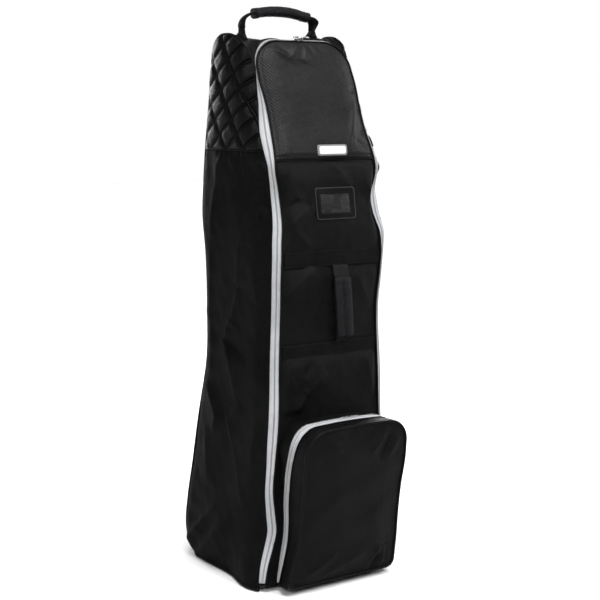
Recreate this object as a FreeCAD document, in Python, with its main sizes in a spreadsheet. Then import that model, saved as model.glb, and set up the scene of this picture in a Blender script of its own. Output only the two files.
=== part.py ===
import FreeCAD, Part
import math
import os
import re

import Sketcher

# A soft, wheeled golf travel case, standing upright. Millimetres, +Z up, the front faces -Y and the
# origin is on the floor under the middle of the case. The tall front flap is leaned back above a seam
# (its dome), hinges on the cloth just above the shoe pocket and is held by a zip on both sides.

OUTPUT = "parts"
X_AXIS = FreeCAD.Vector(1, 0, 0)
Y_AXIS = FreeCAD.Vector(0, 1, 0)
Z_AXIS = FreeCAD.Vector(0, 0, 1)
ORIGIN = FreeCAD.Vector(0, 0, 0)

# Driving dimensions: alias, value, meaning.
DIMENSIONS = [
    ("cloth", 3, "thickness of a cloth wall with its lining"),
    ("padding", 8, "thickness of a padded panel"),
    ("gap", 0.5, "clearance between pieces of different bodies"),
    ("front_y", -112, "front plane of the flap"),
    ("pocket_y", -244, "front of the pocket at its top"),
    ("toe_y", -182, "front of the pocket at its bottom"),
    ("back_y", 160, "back of the case above the flare"),
    ("heel_y", 234, "back of the case at the base"),
    ("side_x", 165, "half width of the case"),
    ("crown_x", 158, "half width of the quilted crown"),
    ("base_x", 190, "half width at the base"),
    ("flare_low", 120, "height where the flare is widest"),
    ("flare_high", 480, "height where the flare ends"),
    ("base_z", 3, "underside of the base cloth, above its studs"),
    ("board", 4, "thickness of the base board"),
    ("quilt_z", 1010, "seam between plain and quilted side panels"),
    ("seam_z", 989, "seam under the dome"),
    ("crown_z", 1271, "top of the crown"),
    ("shoulder_z", 1204, "height where the back turns into the crown"),
    ("lean", 22, "backward lean of the dome, degrees"),
    ("dome_rise", 284, "height of the dome along its face"),
    ("dome_round", 66, "corner radius of the dome"),
    ("flap_half", 134, "half width of the flap and its dome"),
    ("hinge_z", 432, "height of the flap's cloth hinge"),
    ("tape", 12, "width of one zip tape"),
    ("tape_thick", 2, "thickness of a zip tape with its coil"),
    ("zip_end_z", 30, "lower end of the main zip"),
    ("pipe", 4, "section of the piping"),
    ("band", 38, "width of the webbing"),
    ("band_thick", 2, "thickness of the webbing"),
    ("upper_band_z", 747, "lower edge of the upper webbing band"),
    ("lower_band_z", 533, "lower edge of the lower webbing band"),
    ("card_half", 54, "half width of the identity pocket"),
    ("card_x", 8, "middle of the identity pocket"),
    ("card_z", 855, "lower edge of the identity pocket"),
    ("card_rise", 70, "height of the identity pocket"),
    ("badge_half", 41, "half width of the blank badge"),
    ("badge_x", 20, "middle of the blank badge"),
    ("badge_rise", 26, "height of the blank badge"),
    ("pocket_half", 146, "half width of the pocket"),
    ("pocket_low", 18, "lower edge of the pocket"),
    ("pocket_top", 392, "upper edge of the pocket"),
    ("pocket_round", 56, "radius of the pocket's upper corners"),
    ("pocket_zip_top", 52, "depth of the pocket's back gusset at the top"),
    ("pocket_zip_low", 16, "depth of the pocket's back gusset at the bottom"),
    ("pocket_tape", 11, "width of one pocket zip tape"),
    ("pocket_slider_x", 22, "where the two pocket sliders meet"),
    ("grab_x", 22, "middle of the grab handle"),
    ("grab_reach", 17, "stand-off of the grab handle"),
    ("carry_y", 42, "middle of the carry handle"),
    ("carry_x", -27, "middle of the carry handle"),
    ("carry_half", 97, "half length of the carry handle"),
    ("carry_fold_z", 1284, "fold line of the carry handle, above its tabs"),
    ("fold_tip", 1, "half width of the webbing at the fold line"),
    ("fold_room", 0.8, "distance from the fold line to the webbing on either side"),
    ("carry_top_z", 1334, "top of the carry handle's webbing"),
    ("carry_band", 26, "width of the carry handle's folded webbing"),
    ("grip_half", 72, "half length of the carry grip"),
    ("slider_long", 14, "length of a zip slider"),
    ("slider_wide", 9, "width of a zip slider"),
    ("slider_thick", 4, "thickness of a zip slider"),
    ("pull_long", 26, "length of a pull tab"),
    ("pull_wide", 7, "width of a pull tab"),
    ("pull_thick", 1.6, "thickness of a pull tab"),
    ("wheel_round", 38, "radius of a wheel"),
    ("wheel_wide", 24, "width of a wheel"),
    ("wheel_x", 128, "middle of a wheel from the centre plane"),
    ("wheel_y", 206, "wheel axle, behind the origin"),
    ("hub_round", 27, "radius of the wheel hub"),
    ("bearing_round", 11, "outer radius of a wheel bearing"),
    ("bearing_wide", 7, "width of a wheel bearing"),
    ("axle_round", 4, "radius of a wheel axle"),
    ("axle_clearance", 0.05, "radial running clearance on the axle"),
    ("fork_wall", 4, "thickness of a wheel bracket's cheek"),
    ("strap_y", -72, "front face of the inner straps"),
    ("strap_upper_z", 860, "middle of the upper inner strap"),
    ("strap_lower_z", 640, "middle of the lower inner strap"),
    ("strap_band", 30, "width of the inner straps"),
    ("buckle_long", 42, "length of a buckle socket"),
    ("tongue_long", 34, "length of a buckle tongue"),
    ("stud_round", 14, "radius of a base stud"),
]
SIZE = {alias: value for alias, value, _ in DIMENSIONS}
EXPRESSION_WORDS = r"\b(?!tan\b|cos\b|sin\b)([a-z]\w*)"

doc = FreeCAD.newDocument("golf_travel_case")
dims = doc.addObject("Spreadsheet::Sheet", "dims")
for row, (alias, value, meaning) in enumerate(DIMENSIONS, 1):
    dims.set(f"A{row}", meaning)
    dims.set(f"B{row}", str(value))
    dims.setAlias(f"B{row}", alias)
doc.recompute()

nodes = {}


def bind(thing, prop, words):
    """Ties a property to the sheet: words are aliases and arithmetic."""
    thing.setExpression(prop, re.sub(EXPRESSION_WORDS, r"dims.\1", str(words)))


def node(label, shape_object):
    """Marks an object as one piece of the case, with its own name."""
    shape_object.Label = label
    nodes[label] = shape_object
    return shape_object


def place(thing, x="0", y="0", z="0"):
    """Moves a piece to a point given in sheet words."""
    for axis, words in (("x", x), ("y", y), ("z", z)):
        bind(thing, f"Placement.Base.{axis}", words)
    return thing


def lean_back(thing, x="0", forward="0"):
    """Puts a piece drawn on the XZ plane onto the leaning face of the dome."""
    thing.Placement = FreeCAD.Placement(ORIGIN, FreeCAD.Rotation(X_AXIS, -SIZE["lean"]))
    return place(thing, x, f"front_y - ({forward}) * cos(lean)", f"seam_z + ({forward}) * sin(lean)")


def polygon(name, role, corners, depth, backward=False, both_ways=False):
    """A body padded from a closed polygon on one of its own origin planes."""
    body = doc.addObject("PartDesign::Body", name)
    sketch = body.newObject("Sketcher::SketchObject", name + "_sketch")
    sketch.AttachmentSupport = [(next(f for f in body.Origin.OriginFeatures if f.Role == role), "")]
    sketch.MapMode = "FlatFace"
    count = len(corners)
    start = [FreeCAD.Vector(math.cos(math.tau * i / count), math.sin(math.tau * i / count), 0) * 100
             for i in range(count)]
    for i in range(count):
        sketch.addGeometry(Part.LineSegment(start[i], start[(i + 1) % count]))
    for i in range(count):
        sketch.addConstraint(Sketcher.Constraint("Coincident", i, 2, (i + 1) % count, 1))
    for i, corner in enumerate(corners):
        for kind, words in zip(("DistanceX", "DistanceY"), corner):
            index = sketch.addConstraint(Sketcher.Constraint(kind, -1, 1, i, 1, 1.0))
            bind(sketch, f"Constraints[{index}]", words)
    pad = body.newObject("PartDesign::Pad", name + "_pad")
    pad.Profile = sketch
    bind(pad, "Length", depth)
    pad.Reversed = backward
    pad.Midplane = both_ways
    doc.recompute()
    return body


def round_edges(body, along, radius, chosen):
    """Fillets the straight edges that run along an axis and whose middle is chosen."""
    base = body.Tip
    names = []
    for i, edge in enumerate(base.Shape.Edges, 1):
        run = edge.Vertexes[-1].Point - edge.Vertexes[0].Point
        straight = run.Length > 0 and abs(run.dot(along)) > 0.999 * run.Length
        if straight and chosen(edge.CenterOfMass):
            names.append(f"Edge{i}")
    fillet = body.newObject("PartDesign::Fillet", body.Name + f"_round_{len(body.Group)}")
    fillet.Base = (base, names)
    bind(fillet, "Radius", radius)
    doc.recompute()
    return body


def box(name, x, y, z, long, deep, tall):
    """A rectangular block: its lowest corner, then its sizes, in sheet words."""
    block = doc.addObject("Part::Box", name)
    for prop, words in (("Length", long), ("Width", deep), ("Height", tall)):
        bind(block, prop, words)
    return place(block, x, y, z)


def rod(name, x, y, z, radius, long):
    """A cylinder along X whose left end's centre is at the point given."""
    bar = doc.addObject("Part::Cylinder", name)
    bind(bar, "Radius", radius)
    bind(bar, "Height", long)
    bar.Placement = FreeCAD.Placement(ORIGIN, FreeCAD.Rotation(Y_AXIS, 90))
    return place(bar, x, y, z)


def cut(name, base, tool):
    """The base without the tool."""
    made = doc.addObject("Part::Cut", name)
    made.Base = base
    made.Tool = tool
    return made


def join(name, pieces):
    """Several shapes as one; separate solids stay separate."""
    made = doc.addObject("Part::MultiFuse", name)
    made.Shapes = pieces
    return made


def overlap(name, first, second):
    """The space that two shapes share."""
    made = doc.addObject("Part::MultiCommon", name)
    made.Shapes = [first, second]
    return made


def rectangle(half, low, high, middle="0"):
    """Corner list of a rectangle about a middle line."""
    return [(f"{middle} - ({half})", low), (f"{middle} + {half}", low),
            (f"{middle} + {half}", high), (f"{middle} - ({half})", high)]


def both_sides(corners):
    """A closed outline from the corners of its right half, the left half mirrored."""
    return corners + [(f"-({x})", z) for x, z in reversed(corners)]


def arch(name, half, rise, radius, depth, low="0", backward=False):
    """A plate on the XZ plane with round upper corners."""
    body = polygon(name, "XZ_Plane", rectangle(half, low, rise), depth, backward)
    middle = sum(body.Shape.BoundBox.getPoint(i).z for i in range(8)) / 8
    return round_edges(body, Y_AXIS, radius, lambda point: point.z > middle)


# ---- Side walls -------------------------------------------------------------------------------

def side_panels():
    """The plain lower side walls: a flared wall cut to the outline of the case's side."""
    for side, sign in (("left", "-1"), ("right", "1")):
        wall = polygon(f"side_wall_{side}", "XZ_Plane", [
            (f"{sign} * side_x", "quilt_z - gap"), (f"{sign} * side_x", "flare_high"),
            (f"{sign} * base_x", "flare_low"), (f"{sign} * base_x", "base_z"),
            (f"{sign} * (base_x - cloth)", "base_z"), (f"{sign} * (base_x - cloth)", "flare_low"),
            (f"{sign} * (side_x - cloth)", "flare_high"), (f"{sign} * (side_x - cloth)", "quilt_z - gap"),
        ], "1000", both_ways=True)
        outline = polygon(f"side_outline_{side}", "YZ_Plane", [
            ("front_y", "base_z"), ("heel_y - 40", "base_z"), ("heel_y", "base_z + 40"),
            ("heel_y", "flare_low"), ("back_y", "flare_high"), ("back_y + 6", "quilt_z"),
            ("front_y + 30", "quilt_z"), ("front_y", "seam_z"),
        ], "1000", both_ways=True)
        node(f"side_panel_{side}", overlap(f"side_panel_{side}_solid", wall, outline))


def quilted_panels():
    """The quilted crown sides, with a round top and a front edge that follows the dome's lean."""
    def front_edge(height):
        return f"front_y + 2 + ({height} - seam_z) * tan(lean)"

    for side, x in (("left", "-crown_x"), ("right", "crown_x - padding")):
        body = polygon(f"quilt_{side}", "YZ_Plane", [
            (front_edge("quilt_z"), "quilt_z"), (front_edge("shoulder_z"), "shoulder_z"),
            (front_edge("(crown_z - 20)"), "crown_z - 20"),
            ("back_y - 90", "crown_z - 2"), ("back_y - 12", "crown_z - 6"),
            ("back_y - 6", "shoulder_z"), ("back_y + 6", "quilt_z"),
        ], "padding")
        round_edges(body, X_AXIS, "34", lambda point: point.z > SIZE["crown_z"] - 12 and point.y > 100)
        node(f"quilted_panel_{side}", place(body, x))


def front_gores():
    """Cloth between the main zip and the side panels, which closes the flared foot of the case."""
    inner, low = "(flap_half + gap)", "base_z + cloth + gap"
    for side, sign in (("left", "-1"), ("right", "1")):
        gore = polygon(f"gore_{side}", "XZ_Plane", [
            (f"{sign} * {inner}", low), (f"{sign} * (base_x - cloth - gap)", low),
            (f"{sign} * (base_x - cloth - gap)", "flare_low"),
            (f"{sign} * (side_x - cloth - gap)", "flare_high"),
            (f"{sign} * (side_x - cloth - gap)", "seam_z"), (f"{sign} * ({inner} + tape)", "seam_z"),
            (f"{sign} * ({inner} + tape)", "hinge_z"), (f"{sign} * {inner}", "hinge_z"),
        ], "cloth", backward=True)
        node(f"front_gore_{side}", place(gore, y="front_y"))


# ---- Back, crown and base ---------------------------------------------------------------------

def back_and_crown():
    """The back wall and the cloth that closes the crown, each one strip seen from the side."""
    back = polygon("back_wall", "YZ_Plane", [
        ("heel_y", "84"), ("heel_y", "flare_low"), ("back_y", "flare_high"), ("back_y", "quilt_z"),
        ("back_y - 6", "shoulder_z"), ("back_y - 6 - cloth", "shoulder_z"),
        ("back_y - cloth", "quilt_z"), ("back_y - cloth", "flare_high"),
        ("heel_y - cloth", "flare_low"), ("heel_y - cloth", "84"),
    ], "1000", both_ways=True)
    outline = polygon("back_outline", "XZ_Plane", both_sides([
        ("base_x - cloth - gap", "84"), ("base_x - cloth - gap", "flare_low"),
        ("side_x - cloth - gap", "flare_high"), ("side_x - cloth - gap", "quilt_z - gap"),
        ("crown_x - padding - gap", "quilt_z - gap"), ("crown_x - padding - gap", "shoulder_z"),
    ]), "1000", both_ways=True)
    node("back_panel", overlap("back_solid", back, outline))
    crown = polygon("crown_wall", "YZ_Plane", [
        ("back_y - 6", "shoulder_z + gap"), ("back_y - 12", "crown_z - 24"),
        ("back_y - 40", "crown_z"), ("carry_y", "crown_z - 2"), ("front_y + 116", "crown_z - 8"),
        ("front_y + 116", "crown_z - 8 - cloth"), ("carry_y", "crown_z - 2 - cloth"),
        ("back_y - 42", "crown_z - cloth"), ("back_y - 12 - cloth", "crown_z - 26"),
        ("back_y - 6 - cloth", "shoulder_z + gap"),
    ], "2 * (crown_x - padding - gap)", both_ways=True)
    node("top_gusset", crown)
    foam = box("foam", "-110", "back_y - 6 - cloth - 9.5", "560", "220", "9", "580")
    node("back_foam", foam)


def base():
    """Base cloth, its stiffening board and the studs it stands on."""
    node("base_panel", box("base_cloth", "-(base_x - cloth - gap)", "front_y + cloth + gap", "base_z",
                           "2 * (base_x - cloth - gap)", "heel_y - 80 - front_y - cloth - 2 * gap", "cloth"))
    node("base_board", box("board_block", "-(base_x - 12)", "front_y + 14", "base_z + cloth",
                           "2 * (base_x - 12)", "220", "board"))
    studs = []
    for number, (x, y) in enumerate(((-130, -70), (130, -70), (-130, 40), (130, 40))):
        stud = doc.addObject("Part::Cylinder", f"stud_{number}")
        bind(stud, "Radius", "stud_round")
        bind(stud, "Height", "base_z")
        studs.append(place(stud, x, y, "0"))
    node("base_studs", join("studs", studs))


# ---- Wheels -----------------------------------------------------------------------------------

def wheel_gear():
    """The moulded heel guard and, at each side, a bracket, an axle and a wheel on two bearings."""
    guard = polygon("guard_block", "YZ_Plane", [
        ("heel_y - 80", "base_z"), ("heel_y", "base_z"), ("heel_y", "82"), ("heel_y - cloth", "82"),
        ("heel_y - cloth", "base_z + cloth"), ("heel_y - 80", "base_z + cloth"),
    ], "2 * (base_x - cloth - gap)", both_ways=True)
    round_edges(guard, X_AXIS, "44",
                lambda point: point.z < SIZE["base_z"] + 1 and point.y > SIZE["heel_y"] - 1)
    round_edges(guard, X_AXIS, "44 - cloth",
                lambda point: point.z < 8 and abs(point.y - SIZE["heel_y"] + SIZE["cloth"]) < 1)
    wells = []
    for side, sign in (("left", "-1"), ("right", "1")):
        middle = f"({sign} * wheel_x)"
        well = "wheel_wide / 2 + 3 + fork_wall"
        wells.append(box(f"well_{side}", f"{middle} - ({well}) - gap", "wheel_y - 46", "-10",
                         f"2 * ({well}) + 2 * gap", "120", "93"))
        outer = box(f"bracket_block_{side}", f"{middle} - ({well})", "wheel_y - 44", "base_z + cloth + gap",
                    f"2 * ({well})", "66", "76")
        inner = box(f"bracket_room_{side}", f"{middle} - wheel_wide / 2 - 3", "wheel_y - 41", "-10",
                    "wheel_wide + 6", "120", "89")
        bore = rod(f"bracket_bore_{side}", f"{middle} - 40", "wheel_y", "wheel_round", "axle_round", "80")
        node(f"wheel_bracket_{side}", cut(f"bracket_{side}",
                                          cut(f"bracket_shell_{side}", outer, inner), bore))
        pin = rod(f"pin_{side}", f"{middle} - ({well})", "wheel_y", "wheel_round", "axle_round",
                  f"2 * ({well})")
        head = rod(f"head_{side}", f"{middle} + {well}", "wheel_y", "wheel_round", "axle_round + 2", "2")
        node(f"axle_{side}", join(f"axle_solid_{side}", [pin, head]))
        wheel(side, middle)
    node("heel_guard", cut("guard", guard, join("wells", wells)))


def wheel(side, middle):
    """A tyre moulded over a hub that turns on two bearings."""
    left = f"{middle} - wheel_wide / 2"
    centre = ("wheel_y", "wheel_round")
    tyre = rod(f"tyre_disc_{side}", left, *centre, "wheel_round", "wheel_wide")
    seat = rod(f"tyre_seat_{side}", left, *centre, "hub_round", "wheel_wide")
    node(f"wheel_tyre_{side}", cut(f"tyre_{side}", tyre, seat))
    hub = rod(f"hub_disc_{side}", left, *centre, "hub_round", "wheel_wide")
    bearings = []
    seats = [rod(f"hub_bore_{side}", left, *centre, "axle_round + 2", "wheel_wide")]
    for end, x in (("near", left), ("far", f"{middle} + wheel_wide / 2 - bearing_wide")):
        seats.append(rod(f"seat_{end}_{side}", x, *centre, "bearing_round", "bearing_wide"))
        ring = rod(f"ring_{end}_{side}", x, *centre, "bearing_round", "bearing_wide")
        bore = rod(f"ring_bore_{end}_{side}", x, *centre, "axle_round + axle_clearance", "bearing_wide")
        bearings.append(cut(f"bearing_{end}_{side}", ring, bore))
    node(f"wheel_hub_{side}", cut(f"hub_{side}", hub, join(f"hub_seats_{side}", seats)))
    node(f"wheel_bearings_{side}", join(f"bearings_{side}", bearings))


# ---- Main zip and flap ------------------------------------------------------------------------

def edge_strip(name, inner, outer, low, thick, forward="0"):
    """An upside-down U round the flap between two offsets from its edge, bent at the dome's seam."""
    outside = arch(f"{name}_arch_out", f"flap_half + {outer}", f"dome_rise + {outer}",
                   f"dome_round + {outer}", thick)
    inside = arch(f"{name}_arch_in", f"flap_half + {inner}", f"dome_rise + {inner}",
                  f"dome_round + {inner}", thick, low="-5")
    crown = cut(f"{name}_crown", lean_back(outside, forward=forward), lean_back(inside, forward=forward))
    legs = [box(f"{name}_leg_{side}", x, f"front_y - ({thick}) - ({forward})", low,
                f"({outer}) - ({inner})", thick, f"seam_z - ({low}) + 1")
            for side, x in (("left", f"-flap_half - ({outer})"), ("right", f"flap_half + {inner}"))]
    return join(f"{name}_strip", [crown] + legs)


def flap():
    """The opening front: padded dome, cloth panel, its zip tape and piping, bands, badge and card."""
    dome = arch("dome", "flap_half", "dome_rise", "dome_round", "padding", backward=True)
    node("dome_panel", lean_back(dome))
    node("flap_panel", box("flap_cloth", "-flap_half", "front_y", "hinge_z", "2 * flap_half", "cloth",
                           "seam_z - hinge_z - 1.5"))
    low = "hinge_z"
    node("flap_piping", edge_strip("flap_piping", "0 - pipe", "0", low, "pipe - 1"))
    node("flap_zip_tape", edge_strip("flap_tape", "0.2", "tape", low, "tape_thick"))
    node("case_zip_tape", edge_strip("case_tape", "tape + gap", "2 * tape", "zip_end_z", "tape_thick"))
    for name, z in (("upper", "upper_band_z"), ("lower", "lower_band_z")):
        node(f"web_band_{name}", box(f"band_{name}", "-flap_half + pipe + 1", "front_y - band_thick", z,
                                     "2 * (flap_half - pipe - 1)", "band_thick", "band"))
    identity_pocket()
    badge = polygon("badge_plate", "XZ_Plane", rectangle("badge_half", "8", "8 + badge_rise"), "1.5")
    node("badge", lean_back(badge, x="badge_x"))


def identity_pocket():
    """A vinyl frame with a clear window over a paper card."""
    bottom, top = "card_z", "card_z + card_rise"
    frame = polygon("frame_plate", "XZ_Plane", rectangle("card_half", bottom, top), "2.5")
    round_edges(frame, Y_AXIS, "9", lambda point: True)
    hole = polygon("frame_hole", "XZ_Plane", rectangle("card_half - 12", f"{bottom} + 12", f"{top} - 12"),
                   "2.5")
    node("card_frame", cut("card_frame_ring", place(frame, "card_x", "front_y"),
                           place(hole, "card_x", "front_y")))
    low_corner = ("card_x - card_half + 12.3", "card_z + 12.3")
    sizes = ("2 * card_half - 24.6", "card_rise - 24.6")
    node("card_window", box("window", low_corner[0], "front_y - 2", low_corner[1], sizes[0], "0.6",
                            sizes[1]))
    node("name_card", box("card", low_corner[0], "front_y - 1", low_corner[1], sizes[0], "0.6", sizes[1]))


def grab_handle():
    """A padded vertical handle bridging the two bands, and the tabs sewn under the bands."""
    low, high = "lower_band_z + band - 6", "upper_band_z + 6"
    face = "front_y - band_thick"
    grip = polygon("grab_grip", "YZ_Plane", [
        (f"{face} - 4.5", f"{low} + 10"), (f"{face} - grab_reach", f"{low} + 34"),
        (f"{face} - grab_reach", f"{high} - 34"), (f"{face} - 4.5", f"{high} - 10"),
        (f"{face} - 0.5", f"{high} - 10"), (f"{face} - grab_reach + 9", f"{high} - 40"),
        (f"{face} - grab_reach + 9", f"{low} + 40"), (f"{face} - 0.5", f"{low} + 10"),
    ], "band", both_ways=True)
    node("grab_handle", place(grip, "grab_x"))
    tabs = [box(f"grab_tab_{end}", "grab_x - band / 2", f"{face} - 4.5", z, "band", "4.5", "16")
            for end, z in (("low", f"{low} + 10 - gap - 16"), ("high", f"{high} - 10 + gap"))]
    node("grab_tabs", join("grab_tab_pair", tabs))


# ---- Pocket -----------------------------------------------------------------------------------

def pocket_ring(name, shrink):
    """The pocket's outline padded forward from the case."""
    low = f"pocket_low + {shrink}"
    body = polygon(name, "XZ_Plane", rectangle(f"pocket_half - {shrink}", low, f"pocket_top - {shrink}"),
                   "150")
    middle = (SIZE["pocket_low"] + SIZE["pocket_top"]) / 2
    round_edges(body, Y_AXIS, f"pocket_round - {shrink}", lambda point: point.z > middle)
    return place(body, y="front_y - gap / 2")


def pocket_slice(name, back_top, back_low, front_top, front_low, low="pocket_low + cloth + gap"):
    """A slanted slice of space between two distances forward of the case."""
    return polygon(name, "YZ_Plane", [
        (f"front_y - ({back_low})", low), (f"front_y - ({back_top})", "pocket_top + 1"),
        (f"front_y - ({front_top})", "pocket_top + 1"), (f"front_y - ({front_low})", low),
    ], "400", both_ways=True)


def pocket():
    """The shoe pocket: fixed back gusset, two zip tapes, and the cover that folds down at its toe."""
    stations = [
        ("pocket_back_gusset", "0", "0", "pocket_zip_top", "pocket_zip_low"),
        ("pocket_tape_back", "pocket_zip_top", "pocket_zip_low",
         "pocket_zip_top + pocket_tape", "pocket_zip_low + pocket_tape"),
        ("pocket_tape_front", "pocket_zip_top + pocket_tape + gap", "pocket_zip_low + pocket_tape + gap",
         "pocket_zip_top + 2 * pocket_tape", "pocket_zip_low + 2 * pocket_tape"),
        ("pocket_front_gusset", "pocket_zip_top + 2 * pocket_tape", "pocket_zip_low + 2 * pocket_tape",
         "front_y - pocket_y - cloth", "front_y - toe_y - cloth"),
    ]
    for label, back_top, back_low, front_top, front_low in stations:
        ring = cut(f"{label}_ring", pocket_ring(f"{label}_out", "0"), pocket_ring(f"{label}_in", "cloth"))
        space = pocket_slice(f"{label}_space", back_top, back_low, front_top, front_low)
        node(label, overlap(f"{label}_solid", ring, space))
    face_space = pocket_slice("face_space", "front_y - pocket_y - cloth", "front_y - toe_y - cloth",
                              "front_y - pocket_y", "front_y - toe_y")
    node("pocket_face", overlap("pocket_face_solid", pocket_ring("face_outline", "0"), face_space))
    node("pocket_bottom", box("pocket_floor", "-pocket_half", "toe_y + 1", "pocket_low - 1",
                              "2 * pocket_half", "front_y - toe_y - 1 - gap", "cloth"))
    node("pocket_wall", box("pocket_wall_cloth", "-flap_half", "front_y", "base_z + cloth + gap",
                            "2 * flap_half", "cloth", "hinge_z - base_z - cloth - 3 * gap"))


# ---- Handles, sliders and inner straps --------------------------------------------------------

def fold_neck(name, x, wide_z, tip_z):
    """A stretch of webbing that narrows to the line it folds about."""
    body = polygon(name, "YZ_Plane", [("-carry_band / 2", wide_z), ("carry_band / 2", wide_z),
                                      ("fold_tip", tip_z), ("-fold_tip", tip_z)], "5")
    return place(body, x, "carry_y")


def carry_handle():
    """A webbing loop in a padded grip, folding about the line through its two sewn tabs."""
    end, high = "carry_half", "carry_top_z"
    low = "carry_fold_z + carry_band / 2"
    loop = polygon("carry_loop", "XZ_Plane", [
        (f"-{end}", low), (f"-{end} - 2", f"{high} - 20"), (f"-{end} + 22", high), (f"{end} - 22", high),
        (f"{end} + 2", f"{high} - 20"), (end, low), (f"{end} - 5", low), (f"{end} - 4", f"{high} - 20"),
        (f"{end} - 24", f"{high} - 6"), (f"-{end} + 24", f"{high} - 6"),
        (f"-{end} + 4", f"{high} - 20"), (f"-{end} + 5", low),
    ], "carry_band", both_ways=True)
    ends = (("left", f"carry_x - {end}"), ("right", f"carry_x + {end} - 5"))
    necks = [fold_neck(f"carry_neck_{side}", x, low, "carry_fold_z + fold_room") for side, x in ends]
    node("carry_strap", join("carry_webbing", [place(loop, "carry_x", "carry_y")] + necks))
    sleeve = box("grip_block", "carry_x - grip_half", "carry_y - carry_band / 2 - 4", f"{high} - 15",
                 "2 * grip_half", "carry_band + 8", "19")
    room = box("grip_room", "carry_x - grip_half", "carry_y - carry_band / 2", f"{high} - 6",
               "2 * grip_half", "carry_band", "6")
    node("carry_grip", cut("grip_sleeve", sleeve, room))
    tabs = [fold_neck(f"carry_tab_{side}", x, "crown_z", "carry_fold_z - fold_room") for side, x in ends]
    node("carry_tabs", join("carry_tab_pair", tabs))


def pull_tab(name, x, deep, low):
    """A thin pull lying along its zip."""
    tab = polygon(name, "XZ_Plane", rectangle("pull_long / 2", low, f"{low} + pull_wide", x), deep)
    return round_edges(tab, Y_AXIS, "pull_wide / 2 - 0.4", lambda point: True)


def sliders():
    """Two sliders with pull tabs meet at the middle of each zip."""
    for side, sign in (("left", "-1"), ("right", "1")):
        middle = f"{sign} * (slider_long / 2 + 1)"
        line = "dome_rise + tape - slider_wide / 2"
        runner = polygon(f"main_runner_{side}", "XZ_Plane",
                         rectangle("slider_long / 2", line, f"{line} + slider_wide", middle),
                         "slider_thick")
        node(f"main_slider_{side}", lean_back(runner, forward="tape_thick + gap"))
        pull = pull_tab(f"main_tab_{side}", f"{sign} * (pull_long / 2 + 4)", "pull_thick",
                        "dome_rise + tape - pull_wide / 2")
        node(f"main_pull_{side}", lean_back(pull, forward="tape_thick + 2 * gap + slider_thick"))
        seam = "front_y - pocket_zip_top - pocket_tape"
        node(f"pocket_slider_{side}", box(
            f"pocket_runner_{side}", f"pocket_slider_x + {middle} - slider_long / 2", f"{seam} - slider_wide / 2",
            "pocket_top + gap", "slider_long", "slider_wide", "slider_thick"))
        node(f"pocket_pull_{side}", box(
            f"pocket_tab_{side}", f"pocket_slider_x + {sign} * (pull_long / 2 + 4) - pull_long / 2",
            f"{seam} - pull_wide / 2", "pocket_top + 2 * gap + slider_thick", "pull_long", "pull_wide",
            "pull_thick"))


def inner_straps():
    """Two straps hold the golf bag: each runs wall to wall through a buckle."""
    wall = "side_x - cloth - 1"
    for name in ("upper", "lower"):
        z = f"strap_{name}_z"
        halves = [
            box(f"{name}_strap_left", f"-({wall})", "strap_y", f"{z} - strap_band / 2",
                f"{wall} - buckle_long", "band_thick", "strap_band"),
            box(f"{name}_strap_right", "tongue_long + 2", "strap_y", f"{z} - strap_band / 2",
                f"{wall} - tongue_long - 2", "band_thick", "strap_band"),
        ]
        node(f"{name}_strap", join(f"{name}_strap_pair", halves))
        shell = box(f"{name}_socket_block", "-buckle_long", "strap_y - 5", f"{z} - strap_band / 2 - 3",
                    "buckle_long", "11", "strap_band + 6")
        room = box(f"{name}_socket_room", "-26", "strap_y - 2.5", f"{z} - strap_band / 2 + 1", "26", "6",
                   "strap_band - 2")
        node(f"{name}_buckle_socket", cut(f"{name}_socket", shell, room))
        bar = box(f"{name}_tongue_bar", "gap", "strap_y - 5", f"{z} - strap_band / 2 - 3",
                  "tongue_long - gap", "4.5", "strap_band + 6")
        prongs = [box(f"{name}_prong_{i}", "-22", "strap_y - 2", f"{z} + {shift} - 3", "24", "1.5", "6")
                  for i, shift in enumerate(("-10", "0", "10"))]
        node(f"{name}_buckle_tongue", join(f"{name}_tongue", [bar] + prongs))


side_panels()
quilted_panels()
front_gores()
back_and_crown()
base()
wheel_gear()
flap()
grab_handle()
pocket()
carry_handle()
sliders()
inner_straps()
doc.recompute()

failed = [o.Label for o in doc.Objects if {"Invalid", "Error"} & set(o.State)]
if failed:
    raise RuntimeError(f"objects that failed: {failed}")
for label, piece in nodes.items():
    if piece.Shape.isNull() or not piece.Shape.isValid() or not piece.Shape.Solids:
        raise RuntimeError(f"{label} has no valid solid")

os.makedirs(OUTPUT, exist_ok=True)
for label, piece in nodes.items():
    piece.Shape.exportStep(os.path.join(OUTPUT, f"{label}.step"))
print(len(nodes), "nodes written")
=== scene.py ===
import math

import bmesh
import bpy
import numpy as np
from mathutils import Matrix, Vector


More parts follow.
